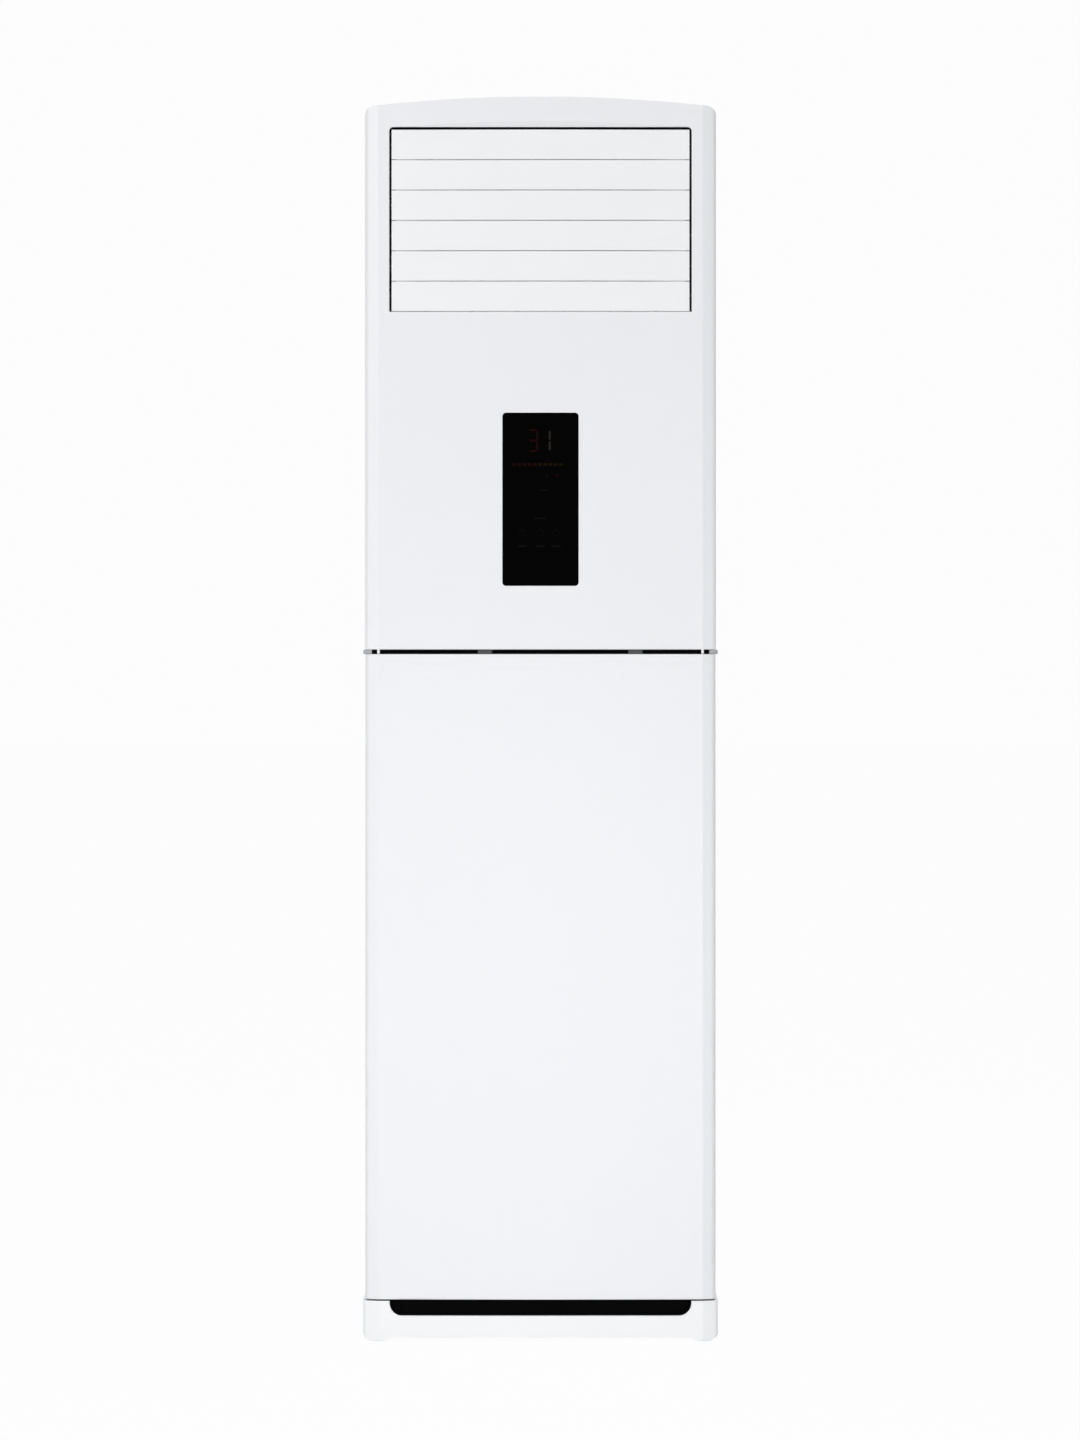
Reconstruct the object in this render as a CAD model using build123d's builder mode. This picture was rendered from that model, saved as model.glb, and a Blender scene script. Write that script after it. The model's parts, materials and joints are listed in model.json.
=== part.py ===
from build123d import *
import math
import os

os.makedirs("parts", exist_ok=True)

# Frame: millimetres, +Z up, front faces -Y, origin under the middle of the footprint.

# Overall size
WIDTH = 505.0
DEPTH = 320.0
HEIGHT = 1770.0

# Levels, from the floor up
PAD_HEIGHT = 4.0
PAD_R = 8.0
PAD_X = 232.5
PAD_Y = 135.0
PLINTH_BOTTOM = 0.5
PLINTH_ARCH = 5.7        # underside of the plinth between its corner feet
PLINTH_TOP = 57.6
SLOT_BOTTOM = 36.6       # lower edge of the dark slot in the plinth
LOWER_BOTTOM = 59.3
LOWER_TOP = 977.2
WAIST_LOW = 978.0        # parts that show in the gap between the two front panels
WAIST_HIGH = 983.4
UPPER_BOTTOM = 984.0
SKIN_TOP = 1741.0        # top edge of the side and rear sheets
COVER_BOTTOM = 1742.0
SHOULDER_Z = 1756.0      # where the arched top meets the sides

# Walls
WALL = 3.0               # moulded front panels and plinth
COVER_WALL = 2.5
SHEET = 1.0              # painted steel skins

# Plan shape shared by the plinth and both front panels
UPPER_HALF = 250.0
LOWER_HALF = 249.0
CROWN_Y = -158.0         # front panels, at the middle
CREASE_X = 231.0         # the two vertical creases
CROWN_DROP = 3.0
BEVEL_ANGLE = 20.0
CORNER_R = 9.0
UPPER_REAR = -102.0      # rear edge of the upper front panel's cheeks
LOWER_REAR = -136.0
SKIN_FRONT = -100.0      # front edge of the side sheets
SKIN_REAR = 157.0

# Air outlet
OUTLET_HALF = 215.0
OUTLET_BOTTOM = 1464.4
OUTLET_TOP = 1727.0
BROW_TOP = 1735.0        # highest point of the leaning face above the outlet
BROW_HALF = 200.0        # half width of that face where it meets the outlet's top edge
BROW_SLOPE = 0.4         # how fast it leans back
LOUVER_COUNT = 6
LOUVER_PITCH = 43.2
LOUVER_HEIGHT = 42.4
LOUVER_HALF = 211.8
LOUVER_Y = -145.0
LOUVER_Z = 1486.2        # axis of the lowest blade
CRANK_Y = 8.03
CRANK_Z = 11.47
JOURNAL_R = 2.5
VANE_XS = [-165.0, -99.0, -33.0, 33.0, 99.0, 165.0]
VANE_Y = -98.0
VANE_CRANK_Y = -80.0

# Display
DISPLAY_WIDTH = 108.5
DISPLAY_HEIGHT = 246.4
DISPLAY_Z = 1197.4

# Fan
FAN_Z = 540.0
IMPELLER_R = 170.0
SCROLL_FRONT = -25.0
SCROLL_REAR = 125.0

# Lower panel hinge
HINGE_Y = -148.0
HINGE_Z = 68.5

# Rear piping port
PORT_X = 165.0
PORT_Z = 175.0
PORT_BORE_R = 36.0


def front_at(y):
    """Sketch plane seen from the front: local x is X, local y is Z."""
    return Plane(origin=(0, y, 0), x_dir=(1, 0, 0), z_dir=(0, -1, 0))


def side_at(x):
    """Sketch plane seen from the right: local x is Y, local y is Z."""
    return Plane(origin=(x, 0, 0), x_dir=(0, 1, 0), z_dir=(1, 0, 0))


def block(x0, x1, y0, y1, z0, z1, mode=Mode.ADD):
    """Box given by its limits."""
    with Locations(((x0 + x1) / 2, (y0 + y1) / 2, (z0 + z1) / 2)):
        Box(abs(x1 - x0), abs(y1 - y0), abs(z1 - z0), mode=mode)


def rod_x(x0, x1, y, z, radius, mode=Mode.ADD):
    """Cylinder along X."""
    with Locations(Location(((x0 + x1) / 2, y, z), (0, 90, 0))):
        Cylinder(radius, abs(x1 - x0), mode=mode)


def rod_y(y0, y1, x, z, radius, mode=Mode.ADD):
    """Cylinder along Y."""
    with Locations(Location((x, (y0 + y1) / 2, z), (90, 0, 0))):
        Cylinder(radius, abs(y1 - y0), mode=mode)


def rod_z(z0, z1, x, y, radius, mode=Mode.ADD):
    """Cylinder along Z."""
    with Locations((x, y, (z0 + z1) / 2)):
        Cylinder(radius, abs(z1 - z0), mode=mode)


def plan_outline(half, crown, rear, inset=0.0, rear_inset=0.0):
    """Plan face with a crowned front, bevelled and rounded front corners."""
    bevel = math.tan(math.radians(BEVEL_ANGLE))
    crease_x = CREASE_X - inset * math.tan(math.radians(BEVEL_ANGLE / 2))
    crease_y = crown + CROWN_DROP + inset
    side_x = half - inset
    corner_y = crease_y + (side_x - crease_x) * bevel
    rear_y = rear - rear_inset
    with BuildLine() as line:
        FilletPolyline((side_x, rear_y), (side_x, corner_y), (crease_x, crease_y),
                       radius=CORNER_R - inset)
        ThreePointArc((crease_x, crease_y), (0, crown + inset), (-crease_x, crease_y))
        FilletPolyline((-crease_x, crease_y), (-side_x, corner_y), (-side_x, rear_y),
                       radius=CORNER_R - inset)
        Line((-side_x, rear_y), (side_x, rear_y))
    make_face(line.edges())


def arch_outline(half, bottom, inset=0.0):
    """Front view of the arched top: straight sides and a flat arc between two shoulder corners."""
    side = half - inset
    shoulder = SHOULDER_Z - inset
    top = HEIGHT - inset
    rise = HEIGHT - SHOULDER_Z
    arc_r = (side**2 + rise**2) / (2 * rise)
    quarter = math.asin(side / arc_r) / 2
    mid_x, mid_z = arc_r * math.sin(quarter), top - arc_r * (1 - math.cos(quarter))
    with BuildLine() as line:
        Polyline((-side, shoulder), (-side, bottom), (side, bottom), (side, shoulder))
        ThreePointArc((side, shoulder), (mid_x, mid_z), (0, top))
        ThreePointArc((0, top), (-mid_x, mid_z), (-side, shoulder))
    make_face(line.edges())


def shoulders(sketch, inset):
    """The two shoulder corners of an arch outline."""
    return [v for v in sketch.vertices() if abs(v.Y - (SHOULDER_Z - inset)) < 0.5]


def save(builder, label):
    """Name a finished sub-part and write it out."""
    builder.part.label = label
    export_step(builder.part, "parts/" + label + ".step")


def crown_y(crown, x):
    """Front surface depth of a crowned panel at a given x."""
    return crown + CROWN_DROP * (x / CREASE_X) ** 2


# ---------------------------------------------------------------- base

BOSS_TOP = 8.0

with BuildPart() as foot_pads:
    for x in (-PAD_X, PAD_X):
        for y in (-PAD_Y, PAD_Y):
            rod_z(0, PAD_HEIGHT, x, y, PAD_R)
save(foot_pads, "foot_pads")

with BuildPart() as base_plinth:
    with BuildSketch(Plane.XY.offset(PLINTH_BOTTOM)):
        plan_outline(WIDTH / 2, -DEPTH / 2, DEPTH / 2)
    extrude(amount=PLINTH_TOP - PLINTH_BOTTOM)
    fillet(base_plinth.edges().filter_by(Axis.Z).group_by(Axis.Y)[-1], 8.5)
    fillet(base_plinth.edges().group_by(Axis.Z)[0], 1.0)
    # both sides turn in towards the floor
    with BuildSketch(front_at(200)):
        with BuildLine():
            FilletPolyline((WIDTH / 2, 100), (WIDTH / 2, 6.5), (242, PLINTH_BOTTOM), (-242, PLINTH_BOTTOM),
                           (-WIDTH / 2, 6.5), (-WIDTH / 2, 100), radius=10)
            Line((-WIDTH / 2, 100), (WIDTH / 2, 100))
        make_face()
    extrude(amount=400, mode=Mode.INTERSECT)
    with BuildSketch(Plane.XY.offset(BOSS_TOP)):
        plan_outline(WIDTH / 2, -DEPTH / 2, DEPTH / 2, WALL, WALL)
    extrude(amount=PLINTH_TOP, mode=Mode.SUBTRACT)
    # below that, solid corner bosses stay to carry the pan and hold the foot pads
    for width, depth in ((2 * 217, 400), (600, 2 * 117)):
        with BuildSketch(Plane.XY):
            plan_outline(WIDTH / 2, -DEPTH / 2, DEPTH / 2, 2 * WALL, 2 * WALL)
            Rectangle(width, depth, mode=Mode.INTERSECT)
        extrude(amount=BOSS_TOP, mode=Mode.SUBTRACT)
    for x in (-PAD_X, PAD_X):
        for y in (-PAD_Y, PAD_Y):
            rod_z(0, PAD_HEIGHT, x, y, PAD_R + 0.4, mode=Mode.SUBTRACT)
    # ledges under the side and rear sheets
    for side in (-1, 1):
        block(side * 238, side * 250.5, -134, 152, PLINTH_TOP - 3, PLINTH_TOP)
    block(-248, 248, 148, 158, PLINTH_TOP - 3, PLINTH_TOP)
    # raised underside between the corner feet
    with BuildSketch(front_at(200)):
        with BuildLine():
            Polyline((-223, 0), (223, 0), (212, PLINTH_ARCH), (-212, PLINTH_ARCH), close=True)
        make_face()
    extrude(amount=400, mode=Mode.SUBTRACT)
    with BuildSketch(side_at(-300)):
        with BuildLine():
            Polyline((-128, 0), (128, 0), (119, PLINTH_ARCH), (-119, PLINTH_ARCH), close=True)
        make_face()
    extrude(amount=600, mode=Mode.SUBTRACT)
    # dark slot below the lower panel
    with BuildSketch(front_at(-130)) as slot:
        with Locations((0, (SLOT_BOTTOM + PLINTH_TOP + 10) / 2)):
            Rectangle(429, PLINTH_TOP + 10 - SLOT_BOTTOM)
        fillet(slot.vertices().group_by(Axis.Y)[0], 18.0)
    extrude(amount=60, mode=Mode.SUBTRACT)
    slot_rim = base_plinth.edges().filter_by(
        lambda e: e.center().Y < -155 and abs(e.center().X) < 214.6
        and SLOT_BOTTOM - 0.1 < e.center().Z < PLINTH_TOP - 0.5)
    fillet(slot_rim, 1.4)
save(base_plinth, "base_plinth")

with BuildPart() as base_pan:
    block(-246, 246, -146, 152, 8, 36)
    fillet(base_pan.edges().filter_by(Axis.Z), 7.0)
    with BuildSketch(Plane.XY.offset(9.2)):
        with Locations((0, 3)):
            RectangleRounded(2 * 246 - 2.4, 298 - 2.4, 5.8)
    extrude(amount=40, mode=Mode.SUBTRACT)
    # outward lip round the rim is folded inwards, so it stays inside the plinth
    with BuildSketch(Plane.XY.offset(34.8)):
        with Locations((0, 3)):
            RectangleRounded(2 * 246, 298, 7.0)
            RectangleRounded(2 * 246 - 16, 298 - 16, 4.0, mode=Mode.SUBTRACT)
    extrude(amount=1.2)
    for x in (-170, 170):
        for y in (-100, 100):
            rod_z(7, 10, x, y, 6.0, mode=Mode.SUBTRACT)
save(base_pan, "base_pan")

# ---------------------------------------------------------------- sheet skins

with BuildPart() as rear_panel:
    block(-249, 249, SKIN_REAR, SKIN_REAR + SHEET, PLINTH_TOP, SKIN_TOP)
    for z in (330, 520, 710, 900, 1090, 1280, 1470):
        block(-200, 200, SKIN_REAR + SHEET, SKIN_REAR + 2.2, z - 6, z + 6)
        block(-198.8, 198.8, SKIN_REAR, SKIN_REAR + 1.2, z - 4.8, z + 4.8, mode=Mode.SUBTRACT)
    rod_y(150, 165, PORT_X, PORT_Z, 40.3, mode=Mode.SUBTRACT)
    for x in (-50, 50):
        rod_y(150, 165, x, 1678, 4.5, mode=Mode.SUBTRACT)
    for x in (-238, 238):
        for z in (90, 420, 750, 1080, 1410, 1715):
            rod_y(150, 165, x, z, 1.9, mode=Mode.SUBTRACT)
save(rear_panel, "rear_panel")

for side, label in ((-1, "side_panel_left"), (1, "side_panel_right")):
    with BuildPart() as side_panel:
        block(side * 249, side * 250, SKIN_FRONT, SKIN_REAR, PLINTH_TOP, SKIN_TOP)
        block(side * 239, side * 250, SKIN_FRONT, SKIN_FRONT + SHEET, PLINTH_TOP, SKIN_TOP)
        block(side * 228, side * 250, SKIN_REAR - SHEET, SKIN_REAR, PLINTH_TOP, SKIN_TOP)
        for z in (90, 420, 750, 1080, 1410, 1715):
            rod_y(150, 160, side * 238, z, 1.9, mode=Mode.SUBTRACT)
    save(side_panel, label)

with BuildPart() as pipe_port_bush:
    rod_y(150, 160, PORT_X, PORT_Z, 40.0)
    rod_y(158, 160, PORT_X, PORT_Z, 50.0)
    rod_y(148, 162, PORT_X, PORT_Z, PORT_BORE_R, mode=Mode.SUBTRACT)
save(pipe_port_bush, "pipe_port_bush")

with BuildPart() as wall_bracket:
    block(-70, 70, 158, 160, 1652, 1704)
    fillet(wall_bracket.edges().filter_by(Axis.Y), 5.0)
    for x in (-50, 50):
        rod_y(150, 165, x, 1678, 4.5, mode=Mode.SUBTRACT)
save(wall_bracket, "wall_bracket")

with BuildPart() as top_cover:
    with BuildSketch(front_at(158.8)) as arch:
        arch_outline(UPPER_HALF, COVER_BOTTOM)
        fillet(shoulders(arch, 0.0), 8.0)
    extrude(amount=158.8 + 117.0)
    fillet(top_cover.edges().group_by(Axis.Y)[-1].filter_by(lambda e: e.center().Z > COVER_BOTTOM + 1), 5.0)
    with BuildSketch(front_at(158.8 - COVER_WALL)) as arch:
        arch_outline(UPPER_HALF, COVER_BOTTOM - 5, COVER_WALL)
        fillet(shoulders(arch, COVER_WALL), 5.5)
    extrude(amount=300, mode=Mode.SUBTRACT)
    # cross ribs under the arch
    for y in (-60, 20, 100):
        with BuildSketch(front_at(y)) as rib:
            arch_outline(UPPER_HALF, 1750.0, 1.5)
        extrude(amount=2.0)
save(top_cover, "top_cover")

# ---------------------------------------------------------------- upper front panel

with BuildPart() as upper_outer:
    with BuildSketch(Plane.XY.offset(UPPER_BOTTOM)):
        plan_outline(UPPER_HALF, CROWN_Y, UPPER_REAR)
    extrude(amount=HEIGHT - UPPER_BOTTOM + 5)
    with BuildSketch(front_at(-90)) as arch:
        arch_outline(UPPER_HALF, UPPER_BOTTOM)
        fillet(shoulders(arch, 0.0), 13.0)
    extrude(amount=90, mode=Mode.INTERSECT)

with BuildPart() as upper_inner:
    with BuildSketch(Plane.XY.offset(UPPER_BOTTOM + WALL)):
        plan_outline(UPPER_HALF, CROWN_Y, UPPER_REAR + 10, WALL)
    extrude(amount=HEIGHT - UPPER_BOTTOM + 5)
    with BuildSketch(front_at(-80)) as arch:
        arch_outline(UPPER_HALF, UPPER_BOTTOM, WALL)
        fillet(shoulders(arch, WALL), 10.0)
    extrude(amount=90, mode=Mode.INTERSECT)

with BuildPart() as outlet_lip:
    with BuildSketch(front_at(-148.5)) as lip:
        with Locations((0, (OUTLET_BOTTOM - 2.5 + BROW_TOP + 2) / 2)):
            Rectangle(2 * OUTLET_HALF + 5, BROW_TOP + 2 - OUTLET_BOTTOM + 2.5)
        fillet(lip.vertices().group_by(Axis.Y)[-1], 8.5)
    extrude(amount=12)
    add(upper_outer.part, mode=Mode.INTERSECT)

with BuildPart() as upper_front_panel:
    add(upper_outer.part)
    add(upper_inner.part, mode=Mode.SUBTRACT)
    add(outlet_lip.part)
    with BuildSketch(front_at(-140)) as opening:
        with Locations((0, (OUTLET_BOTTOM + OUTLET_TOP) / 2)):
            Rectangle(2 * OUTLET_HALF, OUTLET_TOP - OUTLET_BOTTOM)
        fillet(opening.vertices().group_by(Axis.Y)[-1], 6.0)
    extrude(amount=30, mode=Mode.SUBTRACT)
    outlet_rim = upper_front_panel.edges().filter_by(
        lambda e: e.center().Y < -154 and abs(e.center().X) < OUTLET_HALF + 0.1
        and OUTLET_BOTTOM - 0.1 < e.center().Z < OUTLET_TOP + 0.1)
    fillet(outlet_rim, 1.2)
    # face above the outlet leans back towards it, so its upper border is a flat arc
    brow_rise = BROW_TOP - OUTLET_TOP
    brow_end_y = crown_y(CROWN_Y, BROW_HALF) - brow_rise * BROW_SLOPE
    with BuildSketch(Plane.XY.offset(BROW_TOP)) as brow:
        with BuildLine():
            ThreePointArc((-BROW_HALF, brow_end_y), (0, CROWN_Y), (BROW_HALF, brow_end_y))
            Polyline((BROW_HALF, brow_end_y), (BROW_HALF, -175), (-BROW_HALF, -175),
                     (-BROW_HALF, brow_end_y))
        make_face()
    extrude(brow.sketch, amount=brow_rise + 4, dir=(0, BROW_SLOPE, -1), mode=Mode.SUBTRACT)
    with BuildSketch(front_at(-140)):
        with Locations((0, DISPLAY_Z)):
            RectangleRounded(DISPLAY_WIDTH, DISPLAY_HEIGHT, 5.3)
    extrude(amount=30, mode=Mode.SUBTRACT)
    # the top cover takes over behind the seam
    block(-260, 260, -118, -90, SKIN_TOP + 0.5, HEIGHT + 5, mode=Mode.SUBTRACT)
    block(-246.9, 246.9, -130, -90, UPPER_BOTTOM - 1, UPPER_BOTTOM + WALL, mode=Mode.SUBTRACT)
    # locating pegs that show in the waist gap
    for x in (-230.5, 230.5):
        block(x - 1.75, x + 1.75, -153.5, -148.4, WAIST_LOW, UPPER_BOTTOM + 1)
    # stiffening ribs behind the plain areas
    for x in (-150, 150):
        block(x - 1, x + 1, crown_y(CROWN_Y, x) + 2.5, -146, UPPER_BOTTOM + 1, 1440)
    for z in (1040, 1400):
        block(-236, 236, -152.5, -146, z - 1, z + 1)
save(upper_front_panel, "upper_front_panel")

with BuildPart() as display_window:
    with BuildSketch(front_at(-155)):
        with Locations((0, DISPLAY_Z)):
            RectangleRounded(DISPLAY_WIDTH - 0.6, DISPLAY_HEIGHT - 0.6, 5.0)
    extrude(amount=3.0)
    fillet(display_window.faces().group_by(Axis.Y)[0].edges(), 0.4)
save(display_window, "display_window")

with BuildPart() as display_housing:
    with BuildSketch(front_at(-141)):
        with Locations((0, DISPLAY_Z)):
            RectangleRounded(DISPLAY_WIDTH - 1, DISPLAY_HEIGHT - 1, 4.8)
    extrude(amount=14)
    with BuildSketch(front_at(-151.5)):
        with Locations((0, DISPLAY_Z)):
            RectangleRounded(120, 256, 8)
    extrude(amount=2.5)
    with BuildSketch(front_at(-143)):
        with Locations((0, DISPLAY_Z)):
            RectangleRounded(104, 240, 3)
    extrude(amount=20, mode=Mode.SUBTRACT)
save(display_housing, "display_housing")

# ---------------------------------------------------------------- outlet duct, louvers and vanes

OUTLET_FLOOR = 1459.0
OUTLET_ROOF = 1733.5
DUCT_HALF = 224.5
DUCT_WALL = 2.5
louver_zs = [LOUVER_Z + LOUVER_PITCH * i for i in range(LOUVER_COUNT)]

with BuildPart() as outlet_frame:
    block(-DUCT_HALF, DUCT_HALF, -148, -62, OUTLET_FLOOR, OUTLET_ROOF)
    block(-DUCT_HALF + DUCT_WALL, DUCT_HALF - DUCT_WALL, -150, -60,
          OUTLET_FLOOR + DUCT_WALL, OUTLET_ROOF - DUCT_WALL, mode=Mode.SUBTRACT)
    for side in (-1, 1):
        block(side * (DUCT_HALF - 1), side * 248.8, -66, -63.5, 1490, 1700)
        for z in louver_zs:
            rod_x(side * 220, side * 226, LOUVER_Y, z, JOURNAL_R + 0.1, mode=Mode.SUBTRACT)
    for x in VANE_XS:
        rod_z(1455, 1740, x, VANE_Y, 2.1, mode=Mode.SUBTRACT)
save(outlet_frame, "outlet_frame")


def louver_body(z, top_lip, driven):
    """One front blade with end cheeks, crank arm, crank pin and journals."""
    front = -156.8
    drop = CROWN_DROP * (LOUVER_HALF / CREASE_X) ** 2
    low = z - LOUVER_HEIGHT / 2
    with BuildPart() as blade:
        with BuildSketch(Plane.XY.offset(low)):
            with BuildLine():
                ThreePointArc((-LOUVER_HALF, front + drop), (0, front), (LOUVER_HALF, front + drop))
                Line((LOUVER_HALF, front + drop), (LOUVER_HALF, front + drop + 2.2))
                ThreePointArc((LOUVER_HALF, front + drop + 2.2), (0, front + 2.2),
                              (-LOUVER_HALF, front + drop + 2.2))
                Line((-LOUVER_HALF, front + drop + 2.2), (-LOUVER_HALF, front + drop))
            make_face()
        extrude(amount=LOUVER_HEIGHT)
        long_edges = [e for e in blade.edges() if e.length > 400 and e.center().Y < front + 1.5]
        fillet(long_edges, 1.3)
        if top_lip:
            block(-LOUVER_HALF + 6, LOUVER_HALF - 6, -154.8, -150.4, z + 17.6, z + 18.8)
            block(-LOUVER_HALF + 6, LOUVER_HALF - 6, -151.6, -150.4, z + 17.6, z + 24.2)
        # stiffening rib along the middle of the back
        block(-LOUVER_HALF + 1, LOUVER_HALF - 1, -155, -150.5, z - 0.8, z + 0.8)
        for side in (-1, 1):
            block(side * (LOUVER_HALF - 2.2), side * LOUVER_HALF, -153.4, LOUVER_Y, z - 7, z + 7)
            rod_x(side * (LOUVER_HALF - 2.2), side * LOUVER_HALF, LOUVER_Y, z, 7.0)
            rod_x(side * LOUVER_HALF, side * 225.2, LOUVER_Y, z, JOURNAL_R)
        # crank arm on the left cheek
        with BuildSketch(side_at(-LOUVER_HALF)):
            with Locations((LOUVER_Y, z)):
                Circle(4.5)
            with Locations((LOUVER_Y + CRANK_Y, z + CRANK_Z)):
                Circle(3.5)
            make_hull()
        extrude(amount=2.2)
        rod_x(-LOUVER_HALF, -219.4, LOUVER_Y + CRANK_Y, z + CRANK_Z, 1.6)
        if driven:
            rod_x(225, 236, LOUVER_Y, z, JOURNAL_R)
    return blade


for i, z in enumerate(louver_zs):
    louver = louver_body(z, i < LOUVER_COUNT - 1, i == 0)
    save(louver, f"louver_{i + 1}")

with BuildPart() as louver_link:
    y = LOUVER_Y + CRANK_Y
    block(-219, -216, y - 3.5, y + 3.5, louver_zs[0] + CRANK_Z - 5, louver_zs[-1] + CRANK_Z + 5)
    fillet(louver_link.edges().filter_by(Axis.X), 3.0)
    for z in louver_zs:
        rod_x(-222, -214, y, z + CRANK_Z, 1.7, mode=Mode.SUBTRACT)
save(louver_link, "louver_link")

with BuildPart() as louver_motor:
    rod_x(DUCT_HALF, 241.5, -135, louver_zs[0], 12.0)
    block(DUCT_HALF, 226, -139, -131, louver_zs[0] - 17, louver_zs[0] + 17)
    rod_x(DUCT_HALF, 237, LOUVER_Y, louver_zs[0], JOURNAL_R + 0.1, mode=Mode.SUBTRACT)
    block(228, 238, -127, -119, louver_zs[0] - 6, louver_zs[0] + 6)
save(louver_motor, "louver_motor")


def vane_body(x, pin_bottom):
    """One upright blade behind the louvers, turning on pins top and bottom."""
    with BuildPart() as vane:
        with BuildSketch(Plane.XY.offset(1470)):
            with Locations((x, -95)):
                SlotOverall(40, 1.8, rotation=90)
        extrude(amount=254)
        rod_z(1468, 1473, x, VANE_Y, 3.2)
        rod_z(pin_bottom, 1470, x, VANE_Y, 2.0)
        rod_z(1724, 1733, x, VANE_Y, 2.0)
        rod_z(1722, 1726, x, VANE_Y, 3.2)
        rod_z(1463.2, 1470.5, x, VANE_CRANK_Y, 1.6)
    return vane


for i, x in enumerate(VANE_XS):
    vane = vane_body(x, 1448.0 if i == 2 else 1459.5)
    save(vane, f"vane_{i + 1}")

with BuildPart() as vane_link:
    block(-172, 172, VANE_CRANK_Y - 4, VANE_CRANK_Y + 4, 1464, 1467)
    fillet(vane_link.edges().filter_by(Axis.Z), 3.5)
    for x in VANE_XS:
        rod_z(1460, 1470, x, VANE_CRANK_Y, 1.7, mode=Mode.SUBTRACT)
save(vane_link, "vane_link")

with BuildPart() as vane_motor:
    rod_z(1440, OUTLET_FLOOR, VANE_XS[2] + 8, VANE_Y, 13.0)
    block(VANE_XS[2] - 9, VANE_XS[2] + 25, VANE_Y - 4, VANE_Y + 4, 1457.5, OUTLET_FLOOR)
    rod_z(1446, 1460, VANE_XS[2], VANE_Y, 2.1, mode=Mode.SUBTRACT)
save(vane_motor, "vane_motor")

with BuildPart() as duct_liner:
    for half, radius, low, mode in ((226, 191, 1440, Mode.ADD), (222, 187, 1430, Mode.SUBTRACT)):
        with BuildSketch(side_at(-half)):
            with BuildLine():
                Polyline((-62 + radius, 1544), (-62 + radius, low), (-62, low), (-62, 1544 + radius))
                CenterArc((-62, 1544), radius, 0, 90)
            make_face()
        extrude(amount=2 * half, mode=mode)
save(duct_liner, "duct_liner")

with BuildPart() as front_baffle:
    with BuildSketch(side_at(-235)):
        with BuildLine():
            Polyline((-112, 1000), (-110.8, 1000), (-62.2, 1457), (-62.2, 1458.7), (-63.4, 1458.7),
                     close=True)
        make_face()
    extrude(amount=470)
save(front_baffle, "front_baffle")

# ---------------------------------------------------------------- heat exchanger

COIL_LOW = (-85.0, 1010.0)
COIL_LENGTH = 466.0
COIL_DEPTH = 38.0
COIL_LEAN = math.degrees(math.atan2(180.0, 430.0))
TUBE_R = 4.75
TUBE_PITCH = 38.0
ROW_OFFSET = 9.5
TUBES_PER_ROW = 12


def coil_point(along, across):
    """Point of the leaning coil: distance up its face, offset towards the rear."""
    lean = math.radians(COIL_LEAN)
    y = COIL_LOW[0] + along * math.sin(lean) + across * math.cos(lean)
    z = COIL_LOW[1] + along * math.cos(lean) - across * math.sin(lean)
    return (y, z)


coil_rows = [[coil_point(24 + TUBE_PITCH * i, across) for i in range(TUBES_PER_ROW)]
             for across in (-ROW_OFFSET, ROW_OFFSET)]
tube_points = [p for row in coil_rows for p in row]
fin_xs = [-200 + 16 * i for i in range(26)]

with BuildPart() as evaporator_fins:
    with BuildSketch(*[side_at(x - 1.5) for x in fin_xs]):
        with Locations(Location((*coil_point(COIL_LENGTH / 2, 0), 0), (0, 0, -COIL_LEAN))):
            Rectangle(COIL_DEPTH, COIL_LENGTH)
        with Locations(*tube_points):
            Circle(5.05, mode=Mode.SUBTRACT)
    extrude(amount=3)
    # the two end plates stand a little proud of the fins
    with BuildSketch(side_at(-206.2), side_at(205)):
        with Locations(Location((*coil_point(COIL_LENGTH / 2, 0), 0), (0, 0, -COIL_LEAN))):
            Rectangle(COIL_DEPTH + 6, COIL_LENGTH + 6)
        with Locations(*tube_points):
            Circle(5.05, mode=Mode.SUBTRACT)
    extrude(amount=1.2)
save(evaporator_fins, "evaporator_fins")


def return_bend(x, a, b, side):
    """Half-round tube that joins two neighbouring tubes past an end plate."""
    mid = ((a[0] + b[0]) / 2, (a[1] + b[1]) / 2)
    span = math.dist(a, b)
    direction = ((b[0] - a[0]) / span, (b[1] - a[1]) / span)
    with BuildPart(mode=Mode.PRIVATE) as bend:
        with BuildLine():
            ThreePointArc((x, *a), (x + side * span / 2, *mid), (x, *b))
        with BuildSketch(Plane(origin=(x, *a), x_dir=(0, *direction), z_dir=(side, 0, 0))):
            Circle(TUBE_R)
        sweep()
    return bend.part


with BuildPart() as evaporator_tubes:
    for y, z in tube_points:
        rod_x(-209, 209, y, z, TUBE_R)
    for row in coil_rows:
        for i in range(TUBES_PER_ROW - 1):
            side = -1 if i % 2 == 0 else 1
            add(return_bend(side * 209, row[i], row[i + 1], side))
    add(return_bend(209, coil_rows[0][-1], coil_rows[1][-1], 1))
save(evaporator_tubes, "evaporator_tubes")

with BuildPart() as drain_pan:
    block(-232, 211, -109.5, -40, 985, 1012)
    block(-230, 209, -107.5, -42, 987, 1020, mode=Mode.SUBTRACT)
    rod_z(985, 987, -224, -60, 9.5)
    rod_z(980, 990, -224, -60, 5.0, mode=Mode.SUBTRACT)
save(drain_pan, "drain_pan")

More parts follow.
